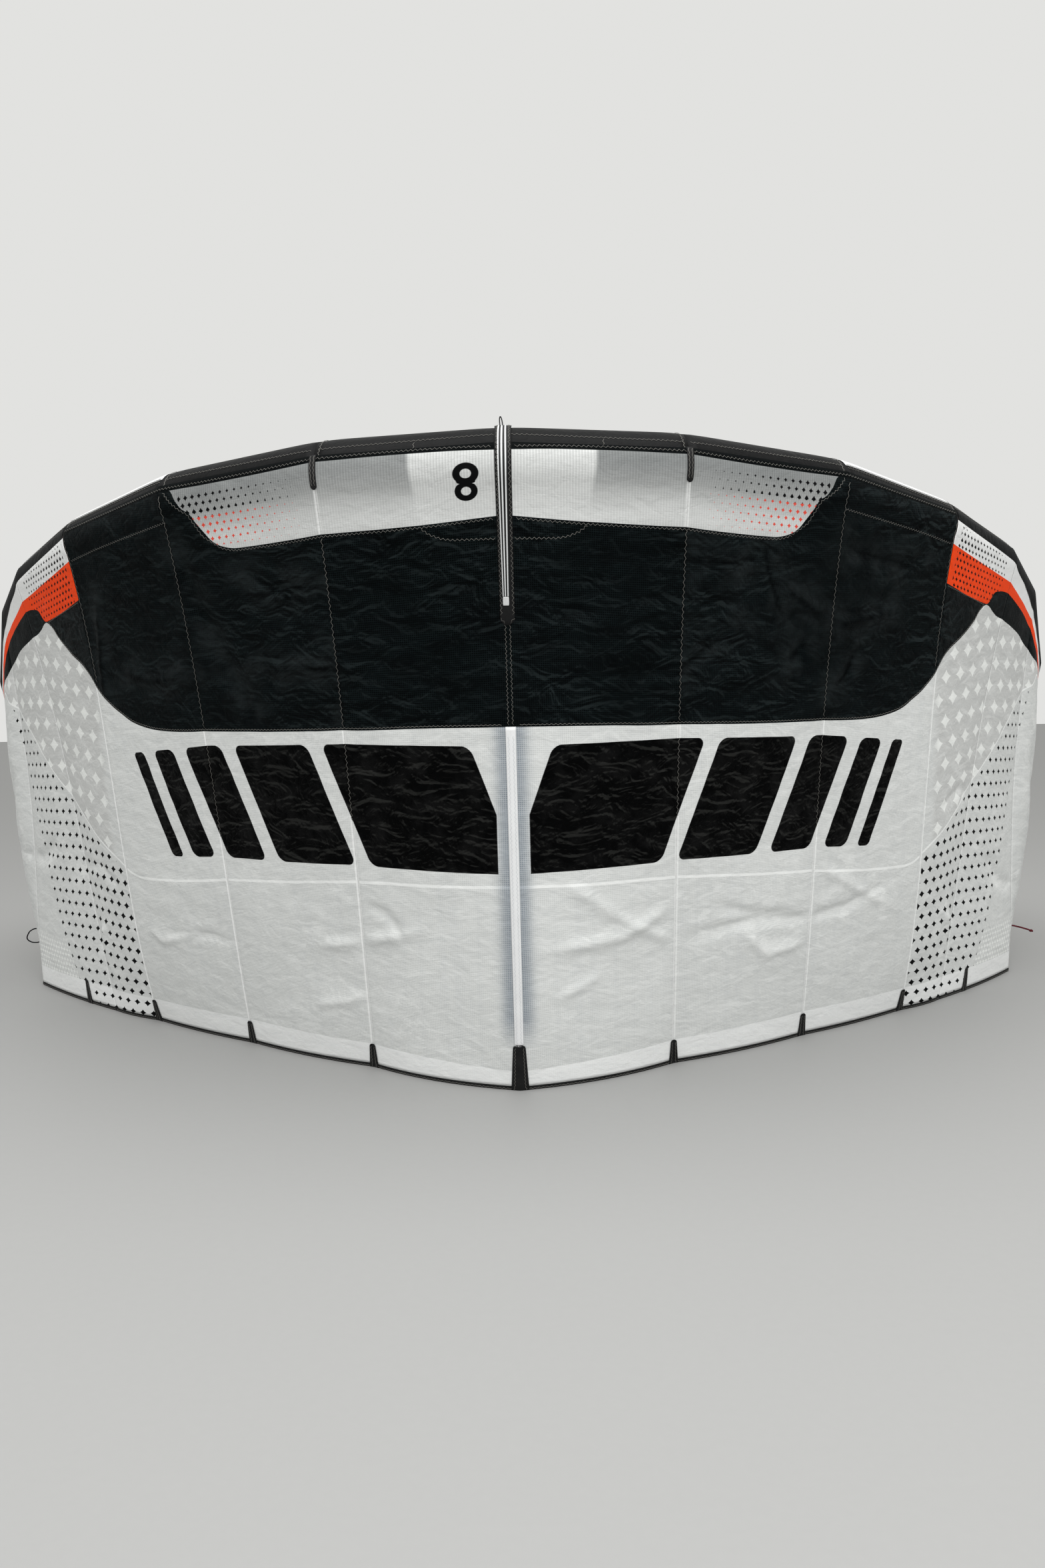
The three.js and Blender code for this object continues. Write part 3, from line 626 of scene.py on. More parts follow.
newGroup("ripstop", "ripstopGrid", ripstop, Across=None, Along=None, Cell=0.0055)
newGroup("crinkle", "clothCrinkle", crinkle, Where=None, Size=0.05, Stretch=1.0)
newGroup("glance", "foldGlance", glance, Where=None, Scale=12.0)
newGroup("diamonds", "diamondRows", diamonds, Across=None, Along=None, Step=0.02, Rows=0.02, Reach=0.004, Slim=0.8)
newGroup("bar", "roundBar", roundBar, X=None, Y=None, Center=0.0, HalfWidth=0.1, HalfHeight=0.1, Corner=0.02)
newGroup("tape", "tapeWeave", tapeWeave, Where=None, Rib=0.0016)


class Material(NodeTree):
    def __init__(self, name, specular=0.5):
        self.material = bpy.data.materials.new(name)
        self.material.use_nodes = True
        super().__init__(self.material.node_tree)
        self.shader = self.tree.nodes["Principled BSDF"].inputs
        self.shader["Specular IOR Level"].default_value = specular

    def set(self, name, value):
        self.feed(self.shader[name], value)


# edges of the cloth's colours, as (place, row) from the middle seam outward
edges = {
    "panelTop": {"span": 3.2, "points": [(0, -2.3), (0.5, -2.5), (0.96, -2.4), (1.65, -2.25), (1.95, -2.3),
        (2.4, -2.3), (2.95, -2.3), (3.2, -2.3)]},
    "panelLow": {"span": 2.2, "points": [(0, 0.5), (0.45, 0.58), (1, 0.64), (1.4, 0.665), (1.55, 0.66),
        (1.62, 0.62), (1.68, 0.54), (1.74, 0.36), (1.83, -0.07), (1.89, -1.2), (1.95, -2.5), (2.2, -3)]},
    "blackLow": {"span": 4, "points": [(0, 3.66), (0.5, 3.69), (1, 3.74), (1.55, 3.73), (2.3, 3.64),
        (2.6, 3.46), (2.8, 3.15), (2.95, 2.78), (3.03, 2.5), (3.16, 2.12), (3.34, 1.78), (3.5, 1.4),
        (3.6, 1.08), (3.68, 0.97), (4, 0.9)]},
    "tipTop": {"span": 7, "points": [(2.9, -1.95), (3, -1.85), (3.93, -0.74), (4, -0.45), (4.14, -0.1),
        (4.47, 0.04), (4.74, 0.15), (5, 0.28), (5.6, 0.3), (7, 0.3)]},
    "whiteLow": {"span": 7, "points": [(2.9, 0.12), (3, 0.14), (4.1, 0.35), (4.5, 0.4), (5, 0.5), (6, 0.6),
        (7, 0.7)]},
    "orangeLow": {"span": 7, "points": [(2.9, 0.86), (3, 0.88), (3.62, 0.97), (3.68, 0.95), (3.74, 0.72),
        (3.82, 0.62), (4, 0.57), (4.5, 0.6), (5, 0.74), (6, 0.9), (7, 1.1)]},
    "tipBlackLow": {"span": 7, "points": [(2.9, 0.9), (3.6, 0.97), (3.68, 0.98), (3.8, 1.07), (4, 1.14),
        (4.4, 1.13), (5, 1.25), (5.6, 0.95), (6.2, 1.1), (7, 1.3)]},
    "crossSeam": {"span": 7, "points": [(0, 6.31), (0.5, 6.36), (1, 6.4), (1.8, 6.52), (2.6, 6.6), (2.85, 6.58),
        (3.05, 6.3), (3.47, 5.78), (4, 4.8), (4.35, 3.95), (4.67, 3.1), (5.2, 1.9), (5.6, 1.2), (7, 1.2)]},
    "hem": {"span": 7, "points": [(0, 9.7), (1, 9.58), (2, 9.52), (3, 9.5), (4.3, 9.5), (7, 9.4)]},
}


def fitEdge(edge):  # the same curve for the material and for the stitches beside it
    rows = [row for _, row in edge["points"]]
    edge["low"], edge["high"] = min(rows) - 0.2, max(rows) + 0.2


def setCurve(node, edge):
    curve = node.mapping.curves[0]
    points = [(p / edge["span"], (r - edge["low"]) / (edge["high"] - edge["low"])) for p, r in edge["points"]]
    for k, point in enumerate(points):
        if k < 2:
            curve.points[k].location = point
        else:
            curve.points.new(*point)
    for point in curve.points:
        point.handle_type = "AUTO_CLAMPED"
    node.mapping.extend = "HORIZONTAL"
    node.mapping.update()


def edgeNode(n, name, place):
    edge = edges[name]
    fitEdge(edge)
    made = n.add("ShaderNodeFloatCurve", {"Factor": 1.0, "Value": place / edge["span"]})
    setCurve(made.node, edge)
    edge["mapping"] = made.node.mapping
    return made[0] * (edge["high"] - edge["low"]) + edge["low"]


def edgeRow(name, place):
    edge = edges[name]
    values = [edge["mapping"].evaluate(edge["mapping"].curves[0], min(abs(p) / edge["span"], 1)) for p in place]
    return np.array(values) * (edge["high"] - edge["low"]) + edge["low"]


# colours in the cloth, with lengths in m and edges in rows

# bar glint, black light and black flank are painted highlight on folds and creases; black mottle, black dark and black
# fold are painted shade in crinkles and creases; the seam colour is both the seams' own brighter cloth and the painted
# highlight on the white cloth's folds
canopyColors = {
    "white": (0.585, 0.598, 0.588), "thread": (0.72, 0.732, 0.720), "seam": (0.85, 0.862, 0.850),
    "hem": (0.79, 0.800, 0.795), "paleGrey": (0.535, 0.540, 0.530), "brightMotif": (0.80, 0.815, 0.795),
    "print": (0.0035, 0.0037, 0.004), "panel": (0.41, 0.417, 0.410), "panelRib": (0.53, 0.54, 0.53),
    "orange": (0.83, 0.062, 0.010), "red": (0.68, 0.075, 0.05), "tipWhite": (0.76, 0.765, 0.76),
    "bar": (0.0012, 0.0013, 0.0014), "barGlint": (0.025, 0.0255, 0.024),
    "black": (0.0010, 0.0017, 0.0019), "blackThread": (0.0085, 0.0135, 0.0145),
    "blackMottle": (0.0012, 0.0016, 0.0018), "blackFlank": (0.020, 0.024, 0.025),
    "blackLight": (0.018, 0.024, 0.025), "blackDark": (0.0006, 0.0008, 0.0009), "blackFold": (0.0008, 0.0010, 0.0012),
}
# streak is the cloth's own tone; the other three tints are painted shade: on the far side of small folds, of the strut
# seen through the cloth, and at the top of the pale panel beside the middle
tints = {"streak": (0.965, 0.967, 0.972), "dull": (0.90, 0.905, 0.91), "strut": (0.40, 0.44, 0.50),
         "doubledPanel": (0.27, 0.28, 0.285)}
motifs = {  # rows of diamonds: steps along and between the rows, and half a diamond's height
    "pale": {"Step": 0.088, "Rows": 0.060, "Reach": 0.0215, "Slim": 0.72},
    "lowTip": {"Step": 0.018, "Rows": 0.016, "Reach": 0.0070},
    "dark": {"Step": 0.042, "Rows": 0.035},
    "orange": {"Step": 0.0235, "Rows": 0.0165},
    "panel": {"Step": 0.0205, "Rows": 0.0155, "Slim": 0.95},
}
bars = [(0.225, 0.185), (0.565, 0.112), (0.785, 0.064), (0.935, 0.038), (1.035, 0.020)]  # middle, half width
barRows = {"middle": 5.03, "half": 1.06, "slant": 0.10, "corner": 0.020}
sizeNumber = {"x": -0.0765, "hole": 0.43, "rings": [(-0.0142, 0.0270, 0.0198), (0.0184, 0.0238, 0.0184)]}  # an 8
rowLength, wrapLength = 0.134, 0.0234  # of cloth in one row, below the tube's edge and on the tube
crisp = {"row": 0.004, "place": 0.002, "length": 0.0008}  # half widths of the colours' edges
clothPlaces = {"outer": 2.999, "bandEnd": 3.68, "tipBlack": 3.66, "panelEnd": 1.97, "darkDots": 3.03, "pale": 2.97,
               "orangeDots": (3.07, 3.86), "panelDots": (1.12, 1.84)}
look = {"cell": 0.0047, "crinkle": 0.095, "stretch": 1.25, "glance": 12.0, "seam": 0.0045, "crossSeam": 0.026,
        "besideStrut": (0.016, 0.055), "barClear": 0.037, "rib": 0.0062, "tipZone": 5.35, "coatRoughness": 0.34}
relief = {"crinkle": 0.0045, "fine": 0.0022, "threads": 0.00012}


class CanopyCloth(Material):  # the layers of its colour, from the white cloth up to the black edge at the tube
    def __init__(self):
        super().__init__("canopyCloth", specular=0.02)
        self.across, self.along, self.fromSeam = self.split(self.attribute("weave", "Vector"))
        self.signed, signedPlace, self.row = self.split(self.attribute("print", "Vector"))
        self.place, self.away = abs(signedPlace), abs(self.signed)
        self.edge = {name: edgeNode(self, name, self.place) for name in edges}
        self.outer = self.above(self.place, clothPlaces["outer"], crisp["length"])
        self.inner = 1.0 - self.outer
        self.where = self.join(self.signed, self.along, 0.0)
        self.down = self.least(self.row, 0.0) * wrapLength + self.most(self.row, 0.0) * rowLength
        self.grid = self.group("ripstop", Across=self.across, Along=self.along, Cell=look["cell"])
        self.crinkle = self.group("crinkle", Where=self.where, Size=look["crinkle"], Stretch=look["stretch"])
        self.glance = self.group("glance", Where=self.where, Scale=look["glance"])
        self.broad = self.noise(self.where, 3.0, 3.0, 0.55)
        self.crease = self.attribute("crease")
        self.fold = self.attribute("fold") * self.ramp(self.noise(self.where, 38.0, 3.0), 0.35, 0.65, 0.35, 1.0)
        self.seamLine = self.below(self.fromSeam, look["seam"], crisp["length"])
        self.tipZone = self.above(self.place + self.row * 0.1, look["tipZone"], 0.01)
        self.color = None

    def over(self, mask, color):  # the next layer, where its mask is 1
        self.color = self.mix(mask, self.color, canopyColors[color] if isinstance(color, str) else color)

    def aboveEdge(self, name):
        return self.below(self.row, self.edge[name], crisp["row"])

    def rowsOf(self, name, across, along, **more):
        return self.group("diamonds", Across=across, Along=along, **motifs[name], **more)["Mask"]

    def whiteCloth(self):
        threads = self.grid["Lines"] * (0.35 + self.broad * 0.8)
        self.color = self.mix(threads, canopyColors["white"], canopyColors["thread"])
        streaks = self.noise(self.join(self.across, self.along * 0.02, 0.0), 42.0, 2.0)
        self.color = self.tint(self.above(streaks, 0.56, 0.1), self.color, tints["streak"])

    def paleMotifs(self):
        zone = self.above(self.place, clothPlaces["pale"], 0.02) * self.aboveEdge("crossSeam")
        zone = zone * self.above(self.place, 2.9 + self.row * 0.05, 0.05)
        self.over(zone * 0.75, "paleGrey")
        big = self.rowsOf("pale", self.away + self.along * 0.12, self.along)
        self.over(big * zone, "brightMotif")
        small = self.rowsOf("lowTip", self.away, self.along)
        self.over(small * (self.tipZone * self.below(self.along, 0.17, 0.02)), "brightMotif")

    def sewnLines(self):  # the seams, the cross seam and the hem
        fromCross = self.row - self.edge["crossSeam"]
        cross = self.between(fromCross, -look["crossSeam"], look["crossSeam"], crisp["row"])
        clearSeam = self.seamLine * (1.0 - self.above(self.place, 3.2, 0.1) * 0.65)
        self.over(self.most(clearSeam, cross) * 0.85, "seam")
        self.over(self.above(self.row, self.edge["hem"], 0.006), "hem")

    def foldsAndShade(self):
        # painted highlight in the bright seam colour where small folds would catch the light, and painted shade where
        # they would lose it
        self.over(self.glance["Light"] * 0.22, "seam")
        self.color = self.tint(self.glance["Dark"] * 0.5, self.color, tints["dull"])
        # painted highlight on crinkle edges, along the creases and on cockled patches, in the bright seam colour
        self.over(self.crinkle["Folds"] * 0.2 * self.above(self.broad, 0.5, 0.1), "seam")
        self.over(self.fold * 0.55, "seam")
        cockleHighlight = self.noise(self.join(self.signed, self.along * 1.8, 0.3), 10.0, 5.0, 0.55)
        self.over(self.above(cockleHighlight, 0.58, 0.012) * (0.1 + self.crease * 0.25), "seam")
        shade = 1.0 - self.ramp(self.away, *look["besideStrut"], kind="SMOOTHSTEP")  # painted shade of the strut behind the cloth
        shade = shade * (1.0 - self.grid["Lines"] * 0.35)
        self.color = self.tint(shade * self.below(self.row, 9.0, 0.3), self.color, tints["strut"])

    def darkDots(self):
        reach = self.ramp(self.place, 3.0, 6.2, 0.0118, 0.0055)
        dots = self.rowsOf("dark", self.away + self.along * 0.16, self.along + self.away * 0.05, Reach=reach)
        dots = dots * self.above(self.row, self.edge["crossSeam"] + 0.12, 0.01)
        dots = dots * self.above(self.place, clothPlaces["darkDots"], crisp["place"]) * (1.0 - self.tipZone)
        self.over(dots, "print")

    def slantedBars(self):
        fromMiddle = self.row - barRows["middle"]
        bar = {"X": self.away + fromMiddle * (barRows["slant"] / 2), "Y": fromMiddle * rowLength,
               "HalfHeight": barRows["half"] * rowLength}
        masks = [self.group("bar", Center=center, HalfWidth=half, Corner=min(barRows["corner"], half * 0.6),
                            **bar)["Mask"] for center, half in bars]
        self.printedBars = functools.reduce(self.most, masks) * self.above(self.away, look["barClear"], 0.0006)
        # painted glint where small folds of the print would catch the light
        glint = self.glance["Light"] * (0.15 + self.broad * 0.9)
        self.over(self.printedBars, self.mix(glint, canopyColors["bar"], canopyColors["barGlint"]))

    def blackCloth(self):
        # the black cloth's own colour and threads, with painted shade in crinkles and crease lines, and painted
        # highlight on crease flanks and on small folds facing the light
        crinkleShadeNoise = self.noise(self.join(self.signed, self.along * 2.1, 0.0), 9.0, 6.0, 0.62)
        flank = self.math("SUBTRACT", self.crease, self.fold, clamp=True)
        flank = flank * self.above(self.noise(self.where, 14.0, 4.0), 0.5, 0.12)
        lively = 0.15 + self.above(self.broad, 0.5, 0.12) * 0.5
        layers = {"blackMottle": self.above(crinkleShadeNoise, 0.53, 0.09) * 0.6, "blackFlank": flank * 0.5,
                  "blackLight": self.glance["Light"] * lively, "blackDark": self.glance["Dark"] * lively,
                  "blackFold": self.most(self.fold, self.crinkle["Folds"] * 0.4) * 0.9}
        color = self.mix(self.grid["Lines"] * (0.2 + self.broad), canopyColors["black"], canopyColors["blackThread"])
        for name, mask in layers.items():
            color = self.mix(mask, color, canopyColors[name])
        return color

    def blackBands(self):  # over the middle, and in toward the wing tip
        black = self.blackCloth()
        self.band = self.aboveEdge("blackLow") * self.below(self.place, clothPlaces["bandEnd"], crisp["place"])
        self.over(self.band, black)
        tip = self.outer * self.aboveEdge("tipBlackLow") * self.above(self.place, clothPlaces["tipBlack"], 0.003)
        self.over(tip, black)

    def tipBands(self):
        reach = self.ramp(self.place, 3.0, 3.9, 0.0068, 0.0044)
        dots = self.rowsOf("orange", self.away, self.down, Reach=reach)
        dots = dots * self.between(self.place, *clothPlaces["orangeDots"], crisp["place"])
        orange = self.outer * self.aboveEdge("orangeLow")
        self.over(orange, "orange")
        self.over(self.outer * self.aboveEdge("whiteLow"), "tipWhite")
        self.over(dots * orange * self.above(self.row, self.edge["tipTop"] + 0.35, 0.03), "print")

    def numberMask(self):
        rings = []
        for y, reachX, reachY in sizeNumber["rings"]:
            fromX, fromY = (self.signed - sizeNumber["x"]) / reachX, (self.down - y) / reachY
            away = self.math("SQRT", fromX * fromX + fromY * fromY)
            rings.append(self.between(away, sizeNumber["hole"], 1.0, 0.02))
        return self.most(*rings)

    def palePanel(self):  # ribbed, with painted shade at its top beside the middle that fades downward, and small diamonds that grow outward
        under = self.color
        ribs = self.below(self.every(self.across, look["rib"]), 0.0012, crisp["length"])
        self.color = self.mix(ribs * 0.8, canopyColors["panel"], canopyColors["panelRib"])
        low = self.ramp(self.down, -0.05, 0.08, kind="SMOOTHSTEP")
        # painted shade at the panel's top beside the middle, fading downward
        panelShadeMask = (1.0 - low) * self.above(self.place, 0.49 + low * -0.04, 0.012)
        panelShadeMask = self.math("MULTIPLY", panelShadeMask, 0.55 + self.broad * 0.6, clamp=True)
        self.color = self.tint(panelShadeMask, self.color, tints["doubledPanel"])
        self.over(low * self.below(self.down, 0.09, 0.02) * 0.35, "seam")
        self.over(self.seamLine * 0.6, "seam")
        start, end = clothPlaces["panelDots"]
        small = self.rowsOf("panel", self.away, self.down, Reach=self.ramp(self.place, start, end, 0.0010, 0.0070))
        small = small * self.between(self.place, start, end - self.most(self.down, -0.02) * 1.6, crisp["place"])
        small = small * self.between(self.down, -0.04, 0.077, 0.001)
        twoColors = self.mix(self.above(self.down, 0.013, 0.001), canopyColors["print"], canopyColors["red"])
        self.over(small, twoColors)
        self.over(self.numberMask(), "print")
        panel = self.aboveEdge("panelLow") * self.below(self.place, clothPlaces["panelEnd"], crisp["place"])
        self.panel = panel * self.inner
        self.color = self.mix(self.panel, under, self.color)

    def blackTop(self):
        top = self.edge["panelTop"] * self.inner + self.edge["tipTop"] * self.outer
        self.over(self.below(self.row, top, 0.02), "black")

    def glossAndRelief(self):
        gloss = 0.5 - self.printedBars * 0.14 - self.band * 0.02
        self.set("Roughness", gloss + (self.broad - 0.5) * 0.16)
        strength = 0.11 + self.crease * 0.12 + self.band * 0.45 + self.printedBars * 0.9
        normal = self.bump(self.crinkle["Height"] * (strength * (1.0 - self.panel * 0.6)), relief["crinkle"])
        fine = self.noise(self.join(self.across * 0.6, self.along, 0.0), 30.0, 5.0, 0.6, 0.6)
        normal = self.bump(fine, relief["fine"], normal)
        self.set("Normal", self.bump(self.grid["Height"], relief["threads"], normal))
        glint = self.ramp(self.noise(self.where, 16.0, 5.0, 0.6), 0.46, 0.64, 0.0, 0.2)
        self.set("Coat Weight", self.printedBars * glint * 0.7)
        self.set("Coat Roughness", look["coatRoughness"])


def canopyCloth():
    n = CanopyCloth()
    for layer in (n.whiteCloth, n.paleMotifs, n.sewnLines, n.foldsAndShade, n.darkDots, n.slantedBars, n.blackBands,
                  n.tipBands, n.palePanel, n.blackTop, n.glossAndRelief):
        layer()
    n.set("Base Color", n.color)
    return n.material


def wovenFinish(name, color, dust, roughness, rib=1.6 * mm, relief=0.00022, specular=0.15):  # tapes, cords
    n = Material(name, specular)
    tape = n.group("tape", Where=n.position(), Rib=rib)
    n.set("Base Color", n.mix(tape["Dust"] * 0.5, color, dust))
    n.set("Roughness", roughness + tape["Dust"] * 0.12)
    n.set("Normal", n.bump(tape["Height"], relief))
    return n.material


def inflatedFinish(name, color, thread, roughness, specular, crumple):  # cloth of the air tubes
    n = Material(name, specular)
    where = n.position()
    crinkle = n.group("crinkle", Where=where, Size=0.07, Stretch=1.0)
    fine = n.noise(where, 500.0, 2.0, 0.6)
    broad = n.noise(where, 5.0, 3.0)
    n.set("Base Color", n.tint(broad * 0.5, n.mix(fine * 0.6, color, thread), (0.86, 0.87, 0.88)))
    n.set("Roughness", roughness + broad * 0.12)
    n.set("Normal", n.bump(fine, 0.00015, n.bump(crinkle["Height"], crumple)))
    return n.material


def tapeWithStripes():  # the middle tape: three thin white stripes that draw together toward its round end
    n = Material("stripedTape", 0.15)
    x, y, _ = n.split(n.attribute("weave", "Vector"))
    tape = n.group("tape", Where=n.position(), Rib=0.0016)
    x = (x + 0.0022) / n.ramp(y, 0.04, 0.34, 0.62, 1.0)
    stripes = n.between(n.every(x + 0.00315, 0.0063), 0.0018, 0.01, 0.0002) * n.between(x, -0.0078, 0.0078, 0.0002)
    stripes = stripes * n.above(y, 0.060, 0.0015)
    color = n.mix(tape["Dust"] * 0.4, (0.0045, 0.0047, 0.005), (0.012, 0.012, 0.012))
    n.set("Base Color", n.mix(stripes, color, (0.64, 0.65, 0.65)))
    n.set("Roughness", 0.5 + tape["Dust"] * 0.1)
    n.set("Normal", n.bump(tape["Height"], 0.00015))
    return n.material


finishes = {
    "canopy": canopyCloth(),
    "tube": inflatedFinish("tubeCloth", (0.0026, 0.0028, 0.0030), (0.0065, 0.0065, 0.0065), 0.40, 0.06, 0.0012),
    "tubeWhite": inflatedFinish("tubeWhiteCloth", (0.60, 0.605, 0.60), (0.55, 0.55, 0.55), 0.5, 0.5, 0.0006),
    "strut": inflatedFinish("strutCloth", (0.72, 0.73, 0.735), (0.66, 0.66, 0.66), 0.5, 0.5, 0.0007),
    "strip": wovenFinish("stripCloth", (0.80, 0.81, 0.815), (0.72, 0.725, 0.73), 0.5),
    "binding": wovenFinish("bindingTape", (0.0055, 0.0058, 0.006), (0.02, 0.02, 0.02), 0.62),
    "patch": wovenFinish("patchCloth", (0.0050, 0.0052, 0.0055), (0.018, 0.018, 0.018), 0.58),
    "stripes": tapeWithStripes(),
    "redCord": wovenFinish("redCord", (0.085, 0.010, 0.016), (0.16, 0.03, 0.035), 0.75, 0.0012, 0.0004),
    "blackCord": wovenFinish("blackCord", (0.008, 0.008, 0.009), (0.03, 0.03, 0.03), 0.72, 0.0012, 0.0004),
    "greyThread": wovenFinish("greyThread", (0.14, 0.136, 0.124), (0.20, 0.195, 0.18), 0.7, 0.0008, 0.0001),
    "whiteThread": wovenFinish("whiteThread", (0.66, 0.68, 0.70), (0.58, 0.60, 0.62), 0.6, 0.0008, 0.0001),
}

# shared making of pieces


def finishPiece(piece, material, slotName, nodes=()):
    piece.data.materials.append(material)
    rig.ride(piece, "root")
    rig.slot(piece, slotName)
    if nodes:
        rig.replaces(piece, *nodes)
    return piece


def linkMesh(name, bm, smooth=True):
    mesh = bpy.data.meshes.new(name)
    bmesh.ops.recalc_face_normals(bm, faces=bm.faces)
    for face in bm.faces:
        face.smooth = smooth
    bm.to_mesh(mesh)
    bm.free()
    piece = bpy.data.objects.new(name, mesh)
    scene.collection.objects.link(piece)
    return piece


def shapedGrid(across, down, shape):  # a grid whose corners go where shape(u, v) says, both from 0 to 1
    bm = bmesh.new()
    bmesh.ops.create_grid(bm, x_segments=across, y_segments=down, size=0.5)
    flat = np.array([vert.co[:2] for vert in bm.verts]) + 0.5
    flat[:, 1] = 1 - flat[:, 1]
    for vert, point in zip(bm.verts, shape(flat[:, 0], flat[:, 1])):
        vert.co = point
    return bm, flat


def closeTube(bm):  # joins a grid's two long sides, and shuts its ends
    bmesh.ops.remove_doubles(bm, verts=bm.verts, dist=1e-5)
    bmesh.ops.holes_fill(bm, edges=[edge for edge in bm.edges if edge.is_boundary], sides=0)


def closedPiece(name, across, down, shape, finish, slotName, nodes):  # a grid rolled up into a closed tube
    bm = shapedGrid(across, down, shape)[0]
    closeTube(bm)
    return finishPiece(linkMesh(name, bm), finishes[finish], slotName, nodes)


def facesTheRightWay(piece, towards):  # an open sheet turns its faces to that side
    normal = piece.data.polygons[len(piece.data.polygons) // 2].normal
    if normal.dot(Vector(towards)) < 0:
        piece.data.flip_normals()


def thicken(piece, thickness, offset=0.0):
    solid = piece.modifiers.new("thickness", "SOLIDIFY")
    solid.thickness = thickness
    solid.offset = offset


def addRings(bm, points, side, up, reach, sides):  # rings round the points, with their reach to the side and up
    made = bmesh.ops.create_grid(bm, x_segments=sides, y_segments=len(points) - 1, size=0.5)["verts"]
    flat = np.array([vert.co[:2] for vert in made]) + 0.5
    step, angle = np.rint(flat[:, 1] * (len(points) - 1)).astype(int), 2 * math.pi * flat[:, 0]
    around = side[step] * column(reach[0] * np.cos(angle)) + up[step] * column(reach[1] * np.sin(angle))
    place = points[step] + around
    place[:, 2] = np.maximum(place[:, 2], 0)
    for vert, point in zip(made, place):
        vert.co = point


def sweptTube(bm, points, radius, reference, sides=10):  # a round tube along the points
    along = unit(np.gradient(points, axis=0))
    side = unit(np.cross(along, reference))
    addRings(bm, points, side, np.cross(side, along), (radius, radius), sides)


# cords at the wing tips, on the points that their solids follow

cordsAtTips = {
    "right": {
        "node": "pigtail_r", "slot": "line_red", "finish": "redCord", "diameter": 5 * mm, "farEnd": "knot",
        "knot": 1.5 * mm,
        "route": [(1529.3, 1109.9, 126.1), (1540.4, 1106.7, 124.9), (1558, 1102, 121), (1576, 1097, 116),
                  (1593, 1092, 110)],
    },
    "left": {
        "node": "pigtail_l", "slot": "line_black", "finish": "blackCord", "diameter": 4 * mm, "farEnd": "object",
        "route": [(-1545.9, 1083.8, 168.3), (-1557, 1080.6, 167.1), (-1571, 1078, 158), (-1579, 1078, 138),
                  (-1570, 1085, 125), (-1555.2, 1091.6, 121.4), (-1544.1, 1094.8, 122.6)],
    },
}


def smoothRoute(points, steps):  # a round curve through the points
    points = [Vector(p) for p in points]
    padded = [points[0] * 2 - points[1], *points, points[-1] * 2 - points[-2]]
    route = []
    for a, b, c, d in zip(padded, padded[1:], padded[2:], padded[3:]):
        for k in range(steps):
            t = k / steps
            route.append(0.5 * (2 * b + (c - a) * t + (2 * a - 5 * b + 4 * c - d) * t * t
                                + (3 * b - a - 3 * c + d) * t**3))
    return [*route, points[-1]]


def knotPiece(name, cord, at):  # one overhand knot, pulled round
    turn = np.linspace(0, 2 * math.pi, 49)
    path = np.stack([np.sin(turn) + 2 * np.sin(2 * turn), np.cos(turn) - 2 * np.cos(2 * turn), -np.sin(3 * turn)], 1)
    bm = bmesh.new()
    sweptTube(bm, np.array(at) + path * cord["knot"], 0.46 * cord["diameter"], np.array([0.2, 0.1, 1.0]), 8)
    closeTube(bm)
    return finishPiece(linkMesh(name, bm), finishes[cord["finish"]], cord["slot"])


def cordPiece(name, cord):
    route = smoothRoute([Vector(p) * mm + Vector(centring) for p in cord["route"]], 6)
    curve = bpy.data.curves.new(name, "CURVE")
    curve.dimensions = "3D"
    curve.bevel_depth = cord["diameter"] / 2
    curve.bevel_resolution = 3
    curve.use_fill_caps = True
    spline = curve.splines.new("POLY")
    spline.points.add(len(route) - 1)
    for point, at in zip(spline.points, route):
        point.co = (*at, 1)
    piece = bpy.data.objects.new(name, curve)
    scene.collection.objects.link(piece)
    finishPiece(piece, finishes[cord["finish"]], cord["slot"], [cord["node"]])
    length = sum((b - a).length for a, b in zip(route, route[1:]))
    knots = [knotPiece(f"{name}_knot", cord, route[-3])] if "knot" in cord else []
    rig.cord(piece, exit=route[0], length=length, diameter=cord["diameter"], far_end=cord["farEnd"],
            stiffness="limp", lay="hanging", with_pieces=knots)
    return piece


for tip, cord in cordsAtTips.items():
    cordPiece(f"tipLine_{tip}", cord)
print("camera and cords made")

# canopy

canopy = {"cell": 8 * mm, "wrapShare": 0.055, "thickness": 1.0 * mm, "samples": 261, "spare": 1.01}


def seamLengths(half, seam, rows):  # the way up along a seam from its bottom
    points = half.seamPoint(np.full(len(rows), seam), rows)
    return walkedAlong(points)[-1] - walkedAlong(points)


def addVectors(piece, name, values):
    layer = piece.data.attributes.new(name, "FLOAT_VECTOR", "POINT")
    layer.data.foreach_set("vector", values.astype(np.float32).ravel())


